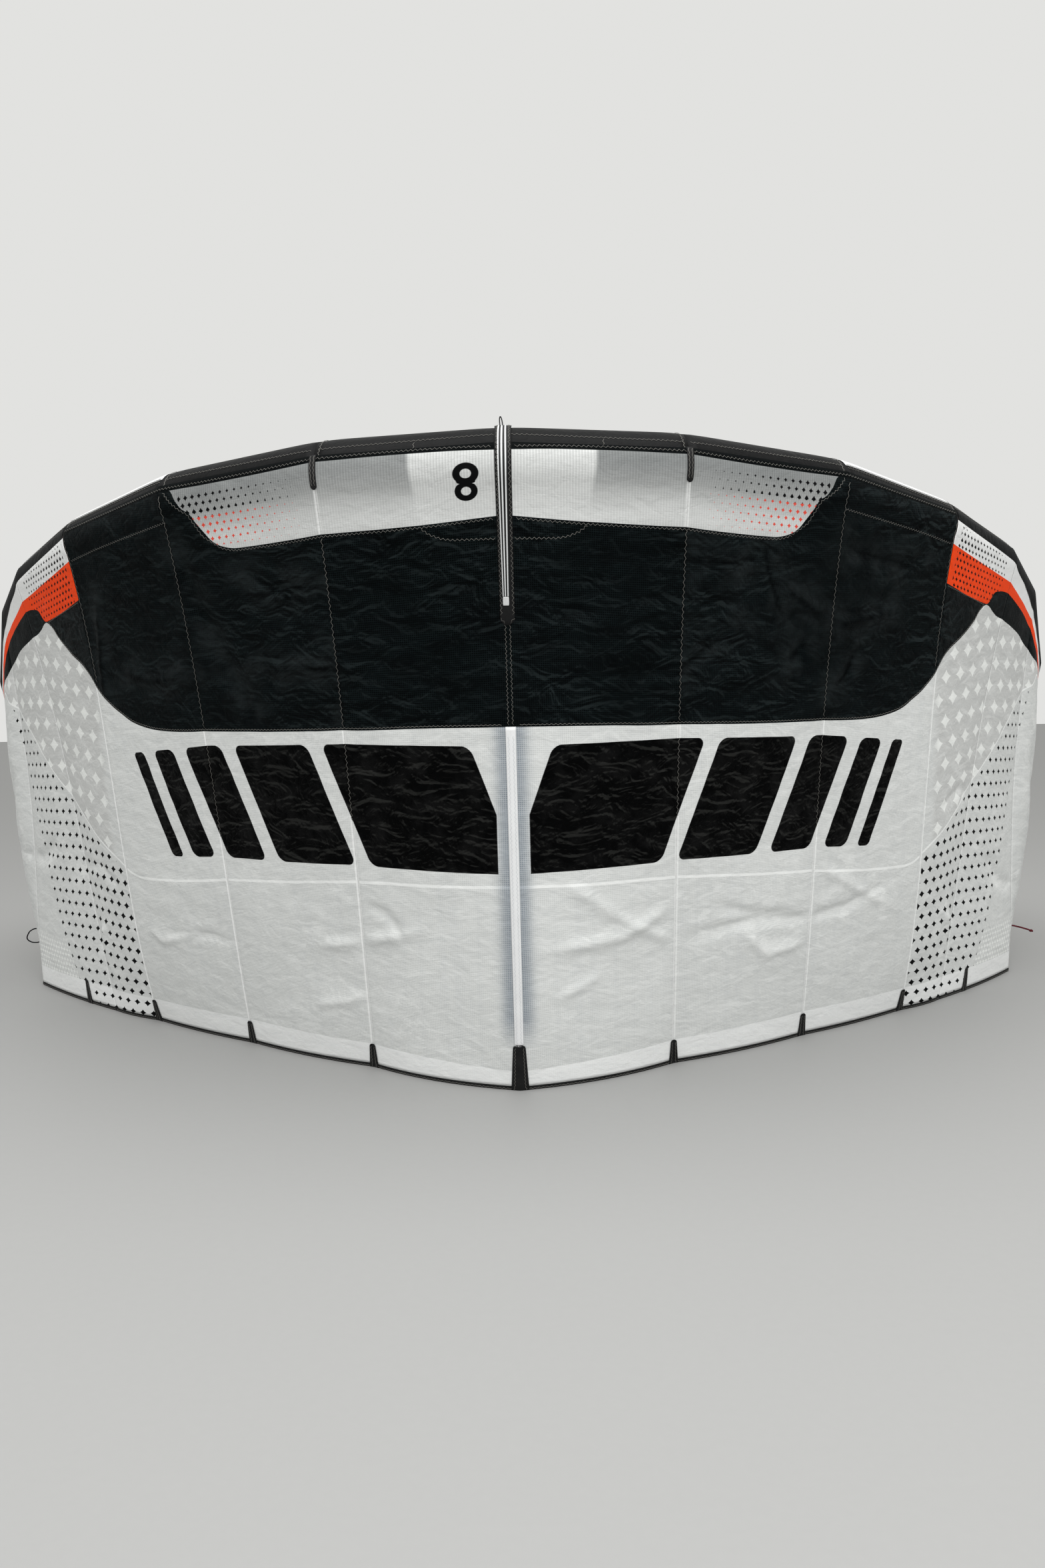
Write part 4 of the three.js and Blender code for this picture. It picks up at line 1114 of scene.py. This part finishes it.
def gorePiece(side, gore):
    sign = signs[side]
    half = halves[side]
    top, bottom = -build["wrapRows"], build["chordRows"]
    sampled = np.linspace(top, bottom, canopy["samples"])
    seamsDown = [half.seamPoint(np.full(len(sampled), k), sampled) for k in range(gore + 2)]
    widths = [np.linalg.norm(far - near, axis=1) for near, far in zip(seamsDown, seamsDown[1:])]
    nearUp, farUp = seamLengths(half, gore, sampled), seamLengths(half, gore + 1, sampled)
    length = float((nearUp[0] + farUp[0]) / 2)

    def rowAt(v):
        return np.interp(v, [0, canopy["wrapShare"], 1], [top, 0, bottom])

    def shape(u, v):
        return cloth(sign * (gore + np.clip(u, 0.0006, 0.9994)), rowAt(v))

    across = max(12, round(widths[gore].max() / canopy["cell"]))
    bm, flat = shapedGrid(across, round(length / canopy["cell"]), shape)
    piece = linkMesh(f"canopyGore_{gore + 1}_{side}", bm)
    facesTheRightWay(piece, clothNormal(np.array([sign * (gore + 0.5)]), np.array([5.0]))[0])
    share, rows = flat[:, 0], rowAt(flat[:, 1])
    place = sign * (gore + share)
    width = np.interp(rows, sampled, widths[gore])
    before = sum(np.interp(rows, sampled, w) for w in widths[:-1]) if gore else 0 * rows
    height = (1 - share) * np.interp(rows, sampled, nearUp) + share * np.interp(rows, sampled, farUp)
    addVectors(piece, "weave", np.stack([(share - 0.5) * width, height, width * (0.5 - np.abs(share - 0.5))], 1))
    addVectors(piece, "print", np.stack([sign * (before + share * width), place, rows], 1))
    for name, values in zip(("crease", "fold"), wrinkles(place, rows, smoothCloth(place, rows))[1:]):
        piece.data.attributes.new(name, "FLOAT", "POINT").data.foreach_set("value", values.astype(np.float32))
    area = sum(face.area for face in piece.data.polygons)
    thicken(piece, canopy["thickness"])
    finishPiece(piece, finishes["canopy"], "canopy_ripstop", [f"canopy_{gore + 1}_{side}"])
    flatSize = (float(widths[gore].max()) * canopy["spare"], length * canopy["spare"])
    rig.sheet(piece, flat=flatSize, held="stretched", rests_on=[f"le_tube_{gore + 1}_{side}"],
             area=min(area, 0.999 * flatSize[0] * flatSize[1]))


for side in "rl":
    for gore in range(lastSeam):
        gorePiece(side, gore)
print("canopy gores made")

# inflated leading edge

tube = {"sides": 56, "rings": 18, "bulge": 0.8 * mm, "pinch": 1.6 * mm, "capRings": 8}


def tubePoint(side, gore, share, angle, lift=0.0, onward=0.0, shrink=1.0):
    half = halves[side]
    share, angle = np.broadcast_arrays(np.asarray(share, float), np.asarray(angle, float))
    i = np.full(len(share), gore)
    swell = tube["bulge"] - (tube["bulge"] + tube["pinch"]) * np.abs(2 * share - 1)**9 + lift
    gap = 0 if gore + 1 == lastSeam else build["gap"] / 2
    near = half.onTube(i, angle, half.tube[i] + swell) + half.axis[i] * build["gap"] / 2
    far = half.onTube(i + 1, angle, (half.tube[i + 1] + swell) * shrink) + half.axis[i + 1] * column(onward - gap)
    point = near * column(1 - share) + far * column(share)
    return point * (1 if side == "r" else mirrorX) + centring


def tubePiece(side, gore):
    isTip = gore + 1 == lastSeam
    ringsOnTip = tube["capRings"] if isTip else 0
    total = tube["rings"] + ringsOnTip

    def shape(u, v):
        step = v * total
        bend = np.clip((step - tube["rings"]) / max(ringsOnTip, 1), 0, 0.999) * math.pi / 2
        return tubePoint(side, gore, np.clip(step / tube["rings"], 0, 1), 2 * math.pi * u,
                         onward=halves[side].tube[gore + 1] * np.sin(bend), shrink=np.cos(bend))

    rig.padded(closedPiece(f"tubePiece_{gore + 1}_{side}", tube["sides"], total, shape, "tube", "dacron_black",
                          [f"le_tube_{gore + 1}_{side}"]), fill=1.0)


for side in "rl":
    for gore in range(lastSeam):
        tubePiece(side, gore)

tubeBands = {  # by the number of the tube piece; angles in degrees at the low edge's two ends, then at the top edge
    3: {"from": 0.01, "to": 0.965, "angles": (64, 60, 150)},
    4: {"from": 0.02, "to": 0.99, "angles": (93, 88, 150)},
}
bandCorner = {"share": 0.05, "degrees": 9}


def bandPiece(side, number, band):  # a white band over the top of a tube piece, with round corners
    def shape(u, v):
        share = band["from"] + (band["to"] - band["from"]) * v
        fromEnd = np.clip((1 - v) / bandCorner["share"], 0, 1)
        rise = bandCorner["degrees"] * (1 - np.sqrt(np.clip(1 - (1 - fromEnd)**2, 0, 1)))
        low = np.interp(share, [0, 1], band["angles"][:2]) + rise
        return tubePoint(side, number - 1, share, np.radians(low + (band["angles"][2] - low) * u), 1.0 * mm)

    piece = linkMesh(f"tubeBand_{number}_{side}", shapedGrid(16, 60, shape)[0])
    thicken(piece, 0.8 * mm)
    return finishPiece(piece, finishes["tubeWhite"], "dacron_black")


for side in "rl":
    for number, band in tubeBands.items():
        bandPiece(side, number, band)
print("leading edge made")

# struts

struts = {
    "strut_center": {"side": "r", "seam": 0, "top": 44, "bottom": 27, "endHeight": 160},
    "strut_r": {"side": "r", "seam": 4, "top": 36, "bottom": 22, "endHeight": 185},
    "strut_l": {"side": "l", "seam": 4, "top": 36, "bottom": 22, "endHeight": 185},
}
strutSides, strutRings, strutCap, strutClear = 40, 60, 8, 1.8 * mm


def strutPiece(name, strut):
    sign = signs[strut["side"]]
    place = np.array([sign * float(strut["seam"])])
    endRow = rowAtHeight(place[0], strut["endHeight"] * mm)
    tubeMiddle = halves[strut["side"]].center[strut["seam"]] * (mirrorX if sign < 0 else 1) + centring

    def centreLine(rows):
        radius = np.interp(rows, [0, endRow], [strut["top"] * mm, strut["bottom"] * mm])
        normal = clothNormal(place + 0 * rows, np.maximum(rows, 0))
        depth = build["cloth"] / 2 + strutClear + radius
        return smoothCloth(place + 0 * rows, rows) - normal * column(depth), normal, radius

    def shape(u, v):
        step = v * (strutRings + strutCap)
        share = np.clip(step / strutRings, 0, 1)
        bend = np.clip((step - strutRings) / strutCap, 0, 0.999) * math.pi / 2
        rows = share * endRow
        center, normal, radius = centreLine(rows)
        along = unit(centreLine(rows + 0.02)[0] - center)
        side = unit(np.cross(along, normal))
        out = np.cross(side, along)
        angle = 2 * math.pi * u
        inTube = column(np.where(step < 0.5, 1.0, 0.0))  # the top ends inside the tube
        center = (center + along * column(radius * np.sin(bend))) * (1 - inTube) + tubeMiddle * inTube
        radius = radius * np.cos(bend) * np.where(step < 0.5, 0.5, 1.0)
        return center + side * column(radius * np.cos(angle)) + out * column(radius * np.sin(angle))

    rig.padded(closedPiece(name.replace("strut_", "strutTube_"), strutSides, strutRings + strutCap, shape, "strut",
                          "strut_dacron", [name]), fill=1.0)


for name, strut in struts.items():
    strutPiece(name, strut)
print("struts made")

# binding and patches on the trailing edge, fingers, tapes

bindingSpans = [(0, 2), (2, 4), (4, 5), (5, 7)]
binding = {"thickness": 3 * mm, "around": 12, "cell": 16 * mm, "roundness": 0.45}


def feet(places):
    return smoothCloth(places, footRow + 0 * places)


def squarish(wave):  # flatter than a sine, for a folded tape
    return np.sign(wave) * np.abs(wave)**binding["roundness"]


def bindingPiece(side, number, first, last):
    sign = signs[side]
    places = np.linspace(first, last, 400)
    walked = walkedAlong(feet(sign * places))

    def shape(u, v):
        walk = build["gap"] / 2 + v * (walked[-1] - build["gap"])
        place = np.interp(walk, walked, places)
        foot = feet(sign * place)
        ahead, behind = feet(sign * np.minimum(place + 0.02, lastSeam)), feet(sign * np.maximum(place - 0.02, 0))
        along = unit((ahead - behind) * np.array([1, 1, 0]))
        out = np.cross(along, upZ)
        upEdge = unit(smoothCloth(sign * place, 0 * place) - foot)
        angle = 2 * math.pi * u
        rise = 0.5 + 0.5 * squarish(np.sin(angle))
        thick = squarish(np.cos(angle)) * binding["thickness"] / 2
        point = foot + upEdge * column(rise * build["bindingHeight"] / upEdge[:, 2]) + out * column(thick)
        point[:, 2] = np.maximum(point[:, 2], 0)
        return point

    closedPiece(f"bindingTape_{number}_{side}", binding["around"], round(walked[-1] / binding["cell"]), shape,
                "binding", "binding_tape", [f"te_binding_{number}_{side}"])


for side in "rl":
    for number, (first, last) in enumerate(bindingSpans, 1):
        bindingPiece(side, number, first, last)

patches = {  # place, widths at the top and bottom, heights of both ends above the ground, in mm, and the finish
    "te_patch_1": (1, (17, 28), 67, 0, "patch"),
    "te_patch_2": (2, (17, 28), 67, 0, "patch"),
    "te_patch_3": (3, (16, 27), 67, 0, "patch"),
    "te_patch_4": (4.3, (15, 26), 73, 0, "patch"),
    "te_patch_center": (0, (27, 41), 121, 0, "patch"),
    "le_finger": (1, (15, 14), None, 1345, "patch"),
    "center_tape": (0, (32, 27), None, 1070, "stripes"),
    "center_strip": (0, (20, 19), 863, 117, "strip"),
}
patchSlots = {"center_tape": "center_tape", "center_strip": "strut_dacron"}
topRows = {"stripes": -6.35, "patch": -3.0}  # of the pieces that run up over the tube
patchLift, patchThickness = 1.8 * mm, 1.0 * mm
patchMiddle = patchLift + patchThickness / 2


def placeWidth(place, row, step):  # m of cloth for one place, across
    return np.linalg.norm(smoothCloth(place + step, row) - smoothCloth(place - step, row), axis=-1) / (2 * step)


def patchPiece(name, side, ending):
    at, widths, top, bottom, finish = patches[name]
    place = signs[side] * float(at)
    topRow = topRows[finish] if top is None else rowAtHeight(place, top * mm)
    bottomRow = footRow if bottom == 0 else rowAtHeight(place, bottom * mm)
    rows = np.linspace(topRow, bottomRow, 160)
    walked = walkedAlong(smoothCloth(np.full(len(rows), place), rows))
    length = walked[-1]

    def shape(u, v):
        row = np.interp(v * length, walked, rows)
        wide = np.interp(v, [0, 1], widths) * mm
        if top is not None and finish == "patch":  # a round top
            fromTop = np.clip(v * length / (widths[0] * mm / 3), 0, 1)
            wide = wide * np.sqrt(np.clip(1 - (1 - fromTop)**2, 0.25, 1))
        if top is None:  # a round bottom
            fromEnd = np.clip((1 - v) * length / (widths[1] * mm / 2), 0, 1)
            wide = wide * np.sqrt(np.clip(1 - (1 - fromEnd)**2, 0.06, 1))
        point = cloth(place + (u - 0.5) * wide / placeWidth(place, row, 0.02), row, patchMiddle)
        point[:, 2] = np.maximum(point[:, 2], 0)
        return point

    cell = (3 if finish == "patch" else 9) * mm
    bm, flat = shapedGrid(8, max(10, round(length / cell)), shape)
    piece = linkMesh(f"{name}_cloth{ending}", bm)
    facesTheRightWay(piece, clothNormal(np.array([place]), np.array([(topRow + bottomRow) / 2]))[0])
    wide = np.interp(flat[:, 1], [0, 1], widths) * mm
    addVectors(piece, "weave", np.stack([(flat[:, 0] - 0.5) * wide, (1 - flat[:, 1]) * length, 0 * wide], 1))
    thicken(piece, patchThickness)
    finishPiece(piece, finishes[finish], patchSlots.get(name, "reinforcement"), [name + ending])


for name, patch in patches.items():
    for side in "rl" if patch[0] else "r":
        patchPiece(name, side, f"_{side}" if patch[0] else "")


def tapeLabel():  # a small bare label near the tape's round end
    wide, high, row = 10 * mm, 17 * mm, rowAtHeight(0.0, 1070 * mm) - 0.36
    perPlace = placeWidth(0.0, row, 0.01)

    def shape(u, v):
        corner = 1 - 0.16 * (np.abs(2 * v - 1)**8)
        return cloth(((u - 0.5) * corner * wide - 2 * mm) / perPlace, row + (v - 0.5) * high / rowLength,
                     patchLift + patchThickness + 0.5 * mm)

    piece = linkMesh("tapeLabel", shapedGrid(6, 10, shape)[0])
    facesTheRightWay(piece, clothNormal(np.array([0.0]), np.array([row]))[0])
    thicken(piece, 0.5 * mm)
    finishPiece(piece, finishes["tubeWhite"], "center_tape")


tapeLabel()


def loopPiece():  # the small loop of cord on top of the middle tape
    low, high = (np.array(corner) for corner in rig.box("le_loop"))
    base = np.array([(low[0] + high[0]) / 2 - 3 * mm, (low[1] + high[1]) / 2, low[2]])
    turn = np.linspace(0, math.pi, 25)
    rise = np.sin(turn)**0.62 * (high[2] - low[2] - 1.2 * mm)
    points = base + np.stack([2.7 * mm * np.cos(turn) - 0.10 * rise, 0 * turn, rise], 1)
    bm = bmesh.new()
    sweptTube(bm, points, 1.1 * mm, np.array([0, 1, 0]))
    closeTube(bm)
    return finishPiece(linkMesh("topLoop", bm), finishes["blackCord"], "binding_tape", ["le_loop"])


loopPiece()
print("binding and patches made")

for node in frame["nodes"].values():
    if not node.hide_render:  # a solid that no piece stands for
        node.data.materials.clear()
        node.data.materials.append(finishes["binding"])

# zigzag stitching

thread = {"radius": 0.42 * mm, "swing": 2.1 * mm, "step": 5 * mm, "lift": 0.8 * mm}


def addZigzag(bm, points, normals, swing=1.0, stretch=1.0):
    walked = walkedAlong(points)
    count = max(2, round(walked[-1] / thread["step"] / stretch))
    at = np.linspace(0, walked[-1], count + 1)
    base, up = (np.stack([np.interp(at, walked, values[:, k]) for k in range(3)], 1) for values in (points, normals))
    up = unit(up)
    side = unit(np.cross(np.gradient(base, axis=0), up))
    turns = np.where(np.arange(count + 1) % 2, 1.0, -1.0)
    middle = base + side * column(turns * thread["swing"] * swing) + up * thread["lift"]
    addRings(bm, middle, side, up, (1.3 * thread["radius"], thread["radius"]), 4)


def clothLine(points, lift=0.0):  # close points on the cloth along straight (place, row) runs
    dense = []
    for (place, row), (nextPlace, nextRow) in zip(points, points[1:]):
        count = max(2, int(max(abs(nextPlace - place) * 50, abs(nextRow - row) * 16)))
        share = np.linspace(0, 1, count, endpoint=False)
        dense.append(np.stack([place + (nextPlace - place) * share, row + (nextRow - row) * share], 1))
    dense = np.concatenate([*dense, [points[-1]]])
    return cloth(dense[:, 0], dense[:, 1], lift), clothNormal(dense[:, 0], dense[:, 1])


def edgeLine(sign, name, first, last, below, lift=0.0):
    places = np.linspace(first, last, max(8, int((last - first) * 50)))
    rows = edgeRow(name, places) + below
    return cloth(sign * places, rows, lift), clothNormal(sign * places, rows)


def tubeLine(side, gore, shares, degrees, lift=0.0):
    shares, angles = np.asarray(shares, float), np.radians(degrees)
    points = tubePoint(side, gore, shares, angles, lift)
    return points, unit(points - tubePoint(side, gore, shares, angles, lift - 30 * mm))


def sewing(bm, sign):  # zigzag lines along (place, row) runs of one half
    def sew(points, lift=0.0, **looks):
        addZigzag(bm, *clothLine([(sign * place, row) for place, row in points], lift), **looks)
    return sew


def seamStitches(side, bm):
    sign = signs[side]
    sew = sewing(bm, sign)
    addZigzag(bm, *edgeLine(sign, "panelTop", 0.06, 2.985, -0.3))
    addZigzag(bm, *edgeLine(sign, "panelLow", 0.06, 1.66, 0.035))
    sew([(1.66, 0.6), (1.76, 0.4), (1.86, -0.1), (1.93, -1.2), (1.97, -2.2)])
    addZigzag(bm, *edgeLine(sign, "blackLow", 0.05, 3.62, -0.035), swing=0.55)
    sew([(2.0, 0.1), (2.4, 0.1), (2.7, 0.11), (2.97, 0.15)])
    sew([(0.44, 0.63), (0.40, 0.72), (0.34, 0.79), (0.28, 0.82), (0.05, 0.83)])
    sew([(3.02, 0.92), (3.62, 1.0)], swing=0.6)
    for seam, first, last in ((1, 0.7, 3.68), (2, -1.9, 3.64), (2.988, -1.5, 2.5), (1, 3.98, 5.3), (2, 3.98, 5.7)):
        sew([(seam, first), (seam, last)], stretch=1.45)
    tapeEdge = 0.011 / 0.37  # of a place
    sew([(tapeEdge, -6.2), (tapeEdge, -3.1)], patchMiddle, swing=0.6)
    sew([(tapeEdge, -3.1), (tapeEdge, 1.94)], patchMiddle)
    sew([(0.012, 2.06), (0.012, 3.63)], swing=0.8)
    sew([(0.035, 1.99), (0.012, 2.06)], patchLift, swing=0.8)


tubeSeams = [  # degrees at the start, middle and end of each tube piece
    (62, 60, 58), (58, 59, 60), (58, 57, 55), (56, 56, 55), (58, 56, 54), (54, 52, 50), (50, 48, 46),
]


def tubeStitches(side, bm):
    shares, around = np.linspace(0.02, 0.98, 60), np.linspace(-20, 215, 60)
    for gore, degrees in enumerate(tubeSeams):
        addZigzag(bm, *tubeLine(side, gore, shares, np.interp(shares, [0, 0.5, 1], degrees)))
        if gore + 1 < lastSeam:
            addZigzag(bm, *tubeLine(side, gore, 0 * around + 0.975, around, 0.3 * mm), swing=0.7)
    shares = np.linspace(0.02, 0.94, 60)
    low = np.interp(shares, [0, 1], tubeBands[3]["angles"][:2]) + 1.5
    addZigzag(bm, *tubeLine(side, 2, shares, low, 1.4 * mm), swing=0.5)
    around = np.linspace(44, 56, 12)
    addZigzag(bm, *tubeLine(side, 0, 0 * around + {"r": 0.53, "l": 0.46}[side], around), swing=0.6)


def patchStitches(side, bm):
    sign = signs[side]
    sew = sewing(bm, sign)
    for at, high in ((1, 60), (2, 60), (3, 60), (4.3, 66)):
        topRow = rowAtHeight(sign * at, high * mm)
        for offset in (-0.014, 0.014):
            sew([(at + offset * 0.9, topRow), (at + offset * 1.4, 10.9)], patchMiddle, swing=0.5)
    sew([(0.022, rowAtHeight(0.0, 112 * mm)), (0.036, 10.9)], patchMiddle, swing=0.5)
    for offset in (-0.009, 0.009):
        low = rowAtHeight(float(sign), 1352 * mm)
        sew([(1 + offset, -2.9), (1 + offset * 0.8, low)], patchMiddle, swing=0.45)
    for gore in range(lastSeam):
        places = sign * np.linspace(gore + 0.01, gore + 0.99, 40)
        points, normals = cloth(places, 10.55), clothNormal(places, 10.2)
        addZigzag(bm, points + normals * binding["thickness"] / 2, normals, swing=0.55)


def stripStitches(bm):
    top, low = rowAtHeight(0.0, 845 * mm), rowAtHeight(0.0, 125 * mm)
    for sign in (-1, 1):
        sewing(bm, sign)([(0.011, top), (0.011, low)], patchLift + 0.2 * mm, swing=0.8)


def stitchPiece(name, fill, finish, slotName, *given):
    bm = bmesh.new()
    fill(*given, bm)
    closeTube(bm)
    return finishPiece(linkMesh(name, bm), finishes[finish], slotName)


for side in "rl":
    for name, fill in (("seam", seamStitches), ("tube", tubeStitches), ("patch", patchStitches)):
        stitchPiece(f"{name}Stitch_{side}", fill, "greyThread", "reinforcement", side)
stitchPiece("stripStitch", stripStitches, "whiteThread", "strut_dacron")
print("stitching made")

# floor, backdrop and light

room = {"floor": (0.34, 0.34, 0.335), "speck": (0.3298, 0.3298, 0.32495), "size": 24.0, "sky": (0.95, 0.95, 0.93, 1),
        "skyStrength": 0.80}
lights = {  # place, aim, size and power
    "ceilingPanels": ((0.0, -1.6, 4.2), (0.0, 0.0, 0.6), (5.0, 3.5), 190),
    "windowSide": ((0.9, -5.4, 2.8), (0.2, 0.0, 0.8), (4.0, 2.6), 112),
}


def makeRoom():
    bm = bmesh.new()
    bmesh.ops.create_grid(bm, x_segments=1, y_segments=1, size=room["size"] / 2)
    floor = linkMesh("floor", bm, smooth=False)
    n = Material("floorPaint", 0.3)
    n.set("Base Color", n.mix(n.noise(n.position(), 60.0, 3.0), room["floor"], room["speck"]))
    n.set("Roughness", 0.6)
    floor.data.materials.append(n.material)
    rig.stage(floor)
    world = bpy.data.worlds.new("softSky")
    world.use_nodes = True
    background = world.node_tree.nodes["Background"].inputs
    background["Color"].default_value, background["Strength"].default_value = room["sky"], room["skyStrength"]
    scene.world = world


def areaLight(name, at, aim, size, power):
    data = bpy.data.lights.new(name, "AREA")
    data.shape = "RECTANGLE"
    data.size, data.size_y = size
    data.energy = power
    light = bpy.data.objects.new(name, data)
    scene.collection.objects.link(light)
    light.location = at
    light.rotation_euler = (Vector(aim) - Vector(at)).to_track_quat("-Z", "Y").to_euler()


makeRoom()
for name, light in lights.items():
    areaLight(name, *light)
scene.view_settings.view_transform = "Standard"

with open("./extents.json", "w") as sizes:
    json.dump({"cad": [list(corner) for corner in cadBox], "visual": [list(c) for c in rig.bounds()]}, sizes)
print("scene ready")
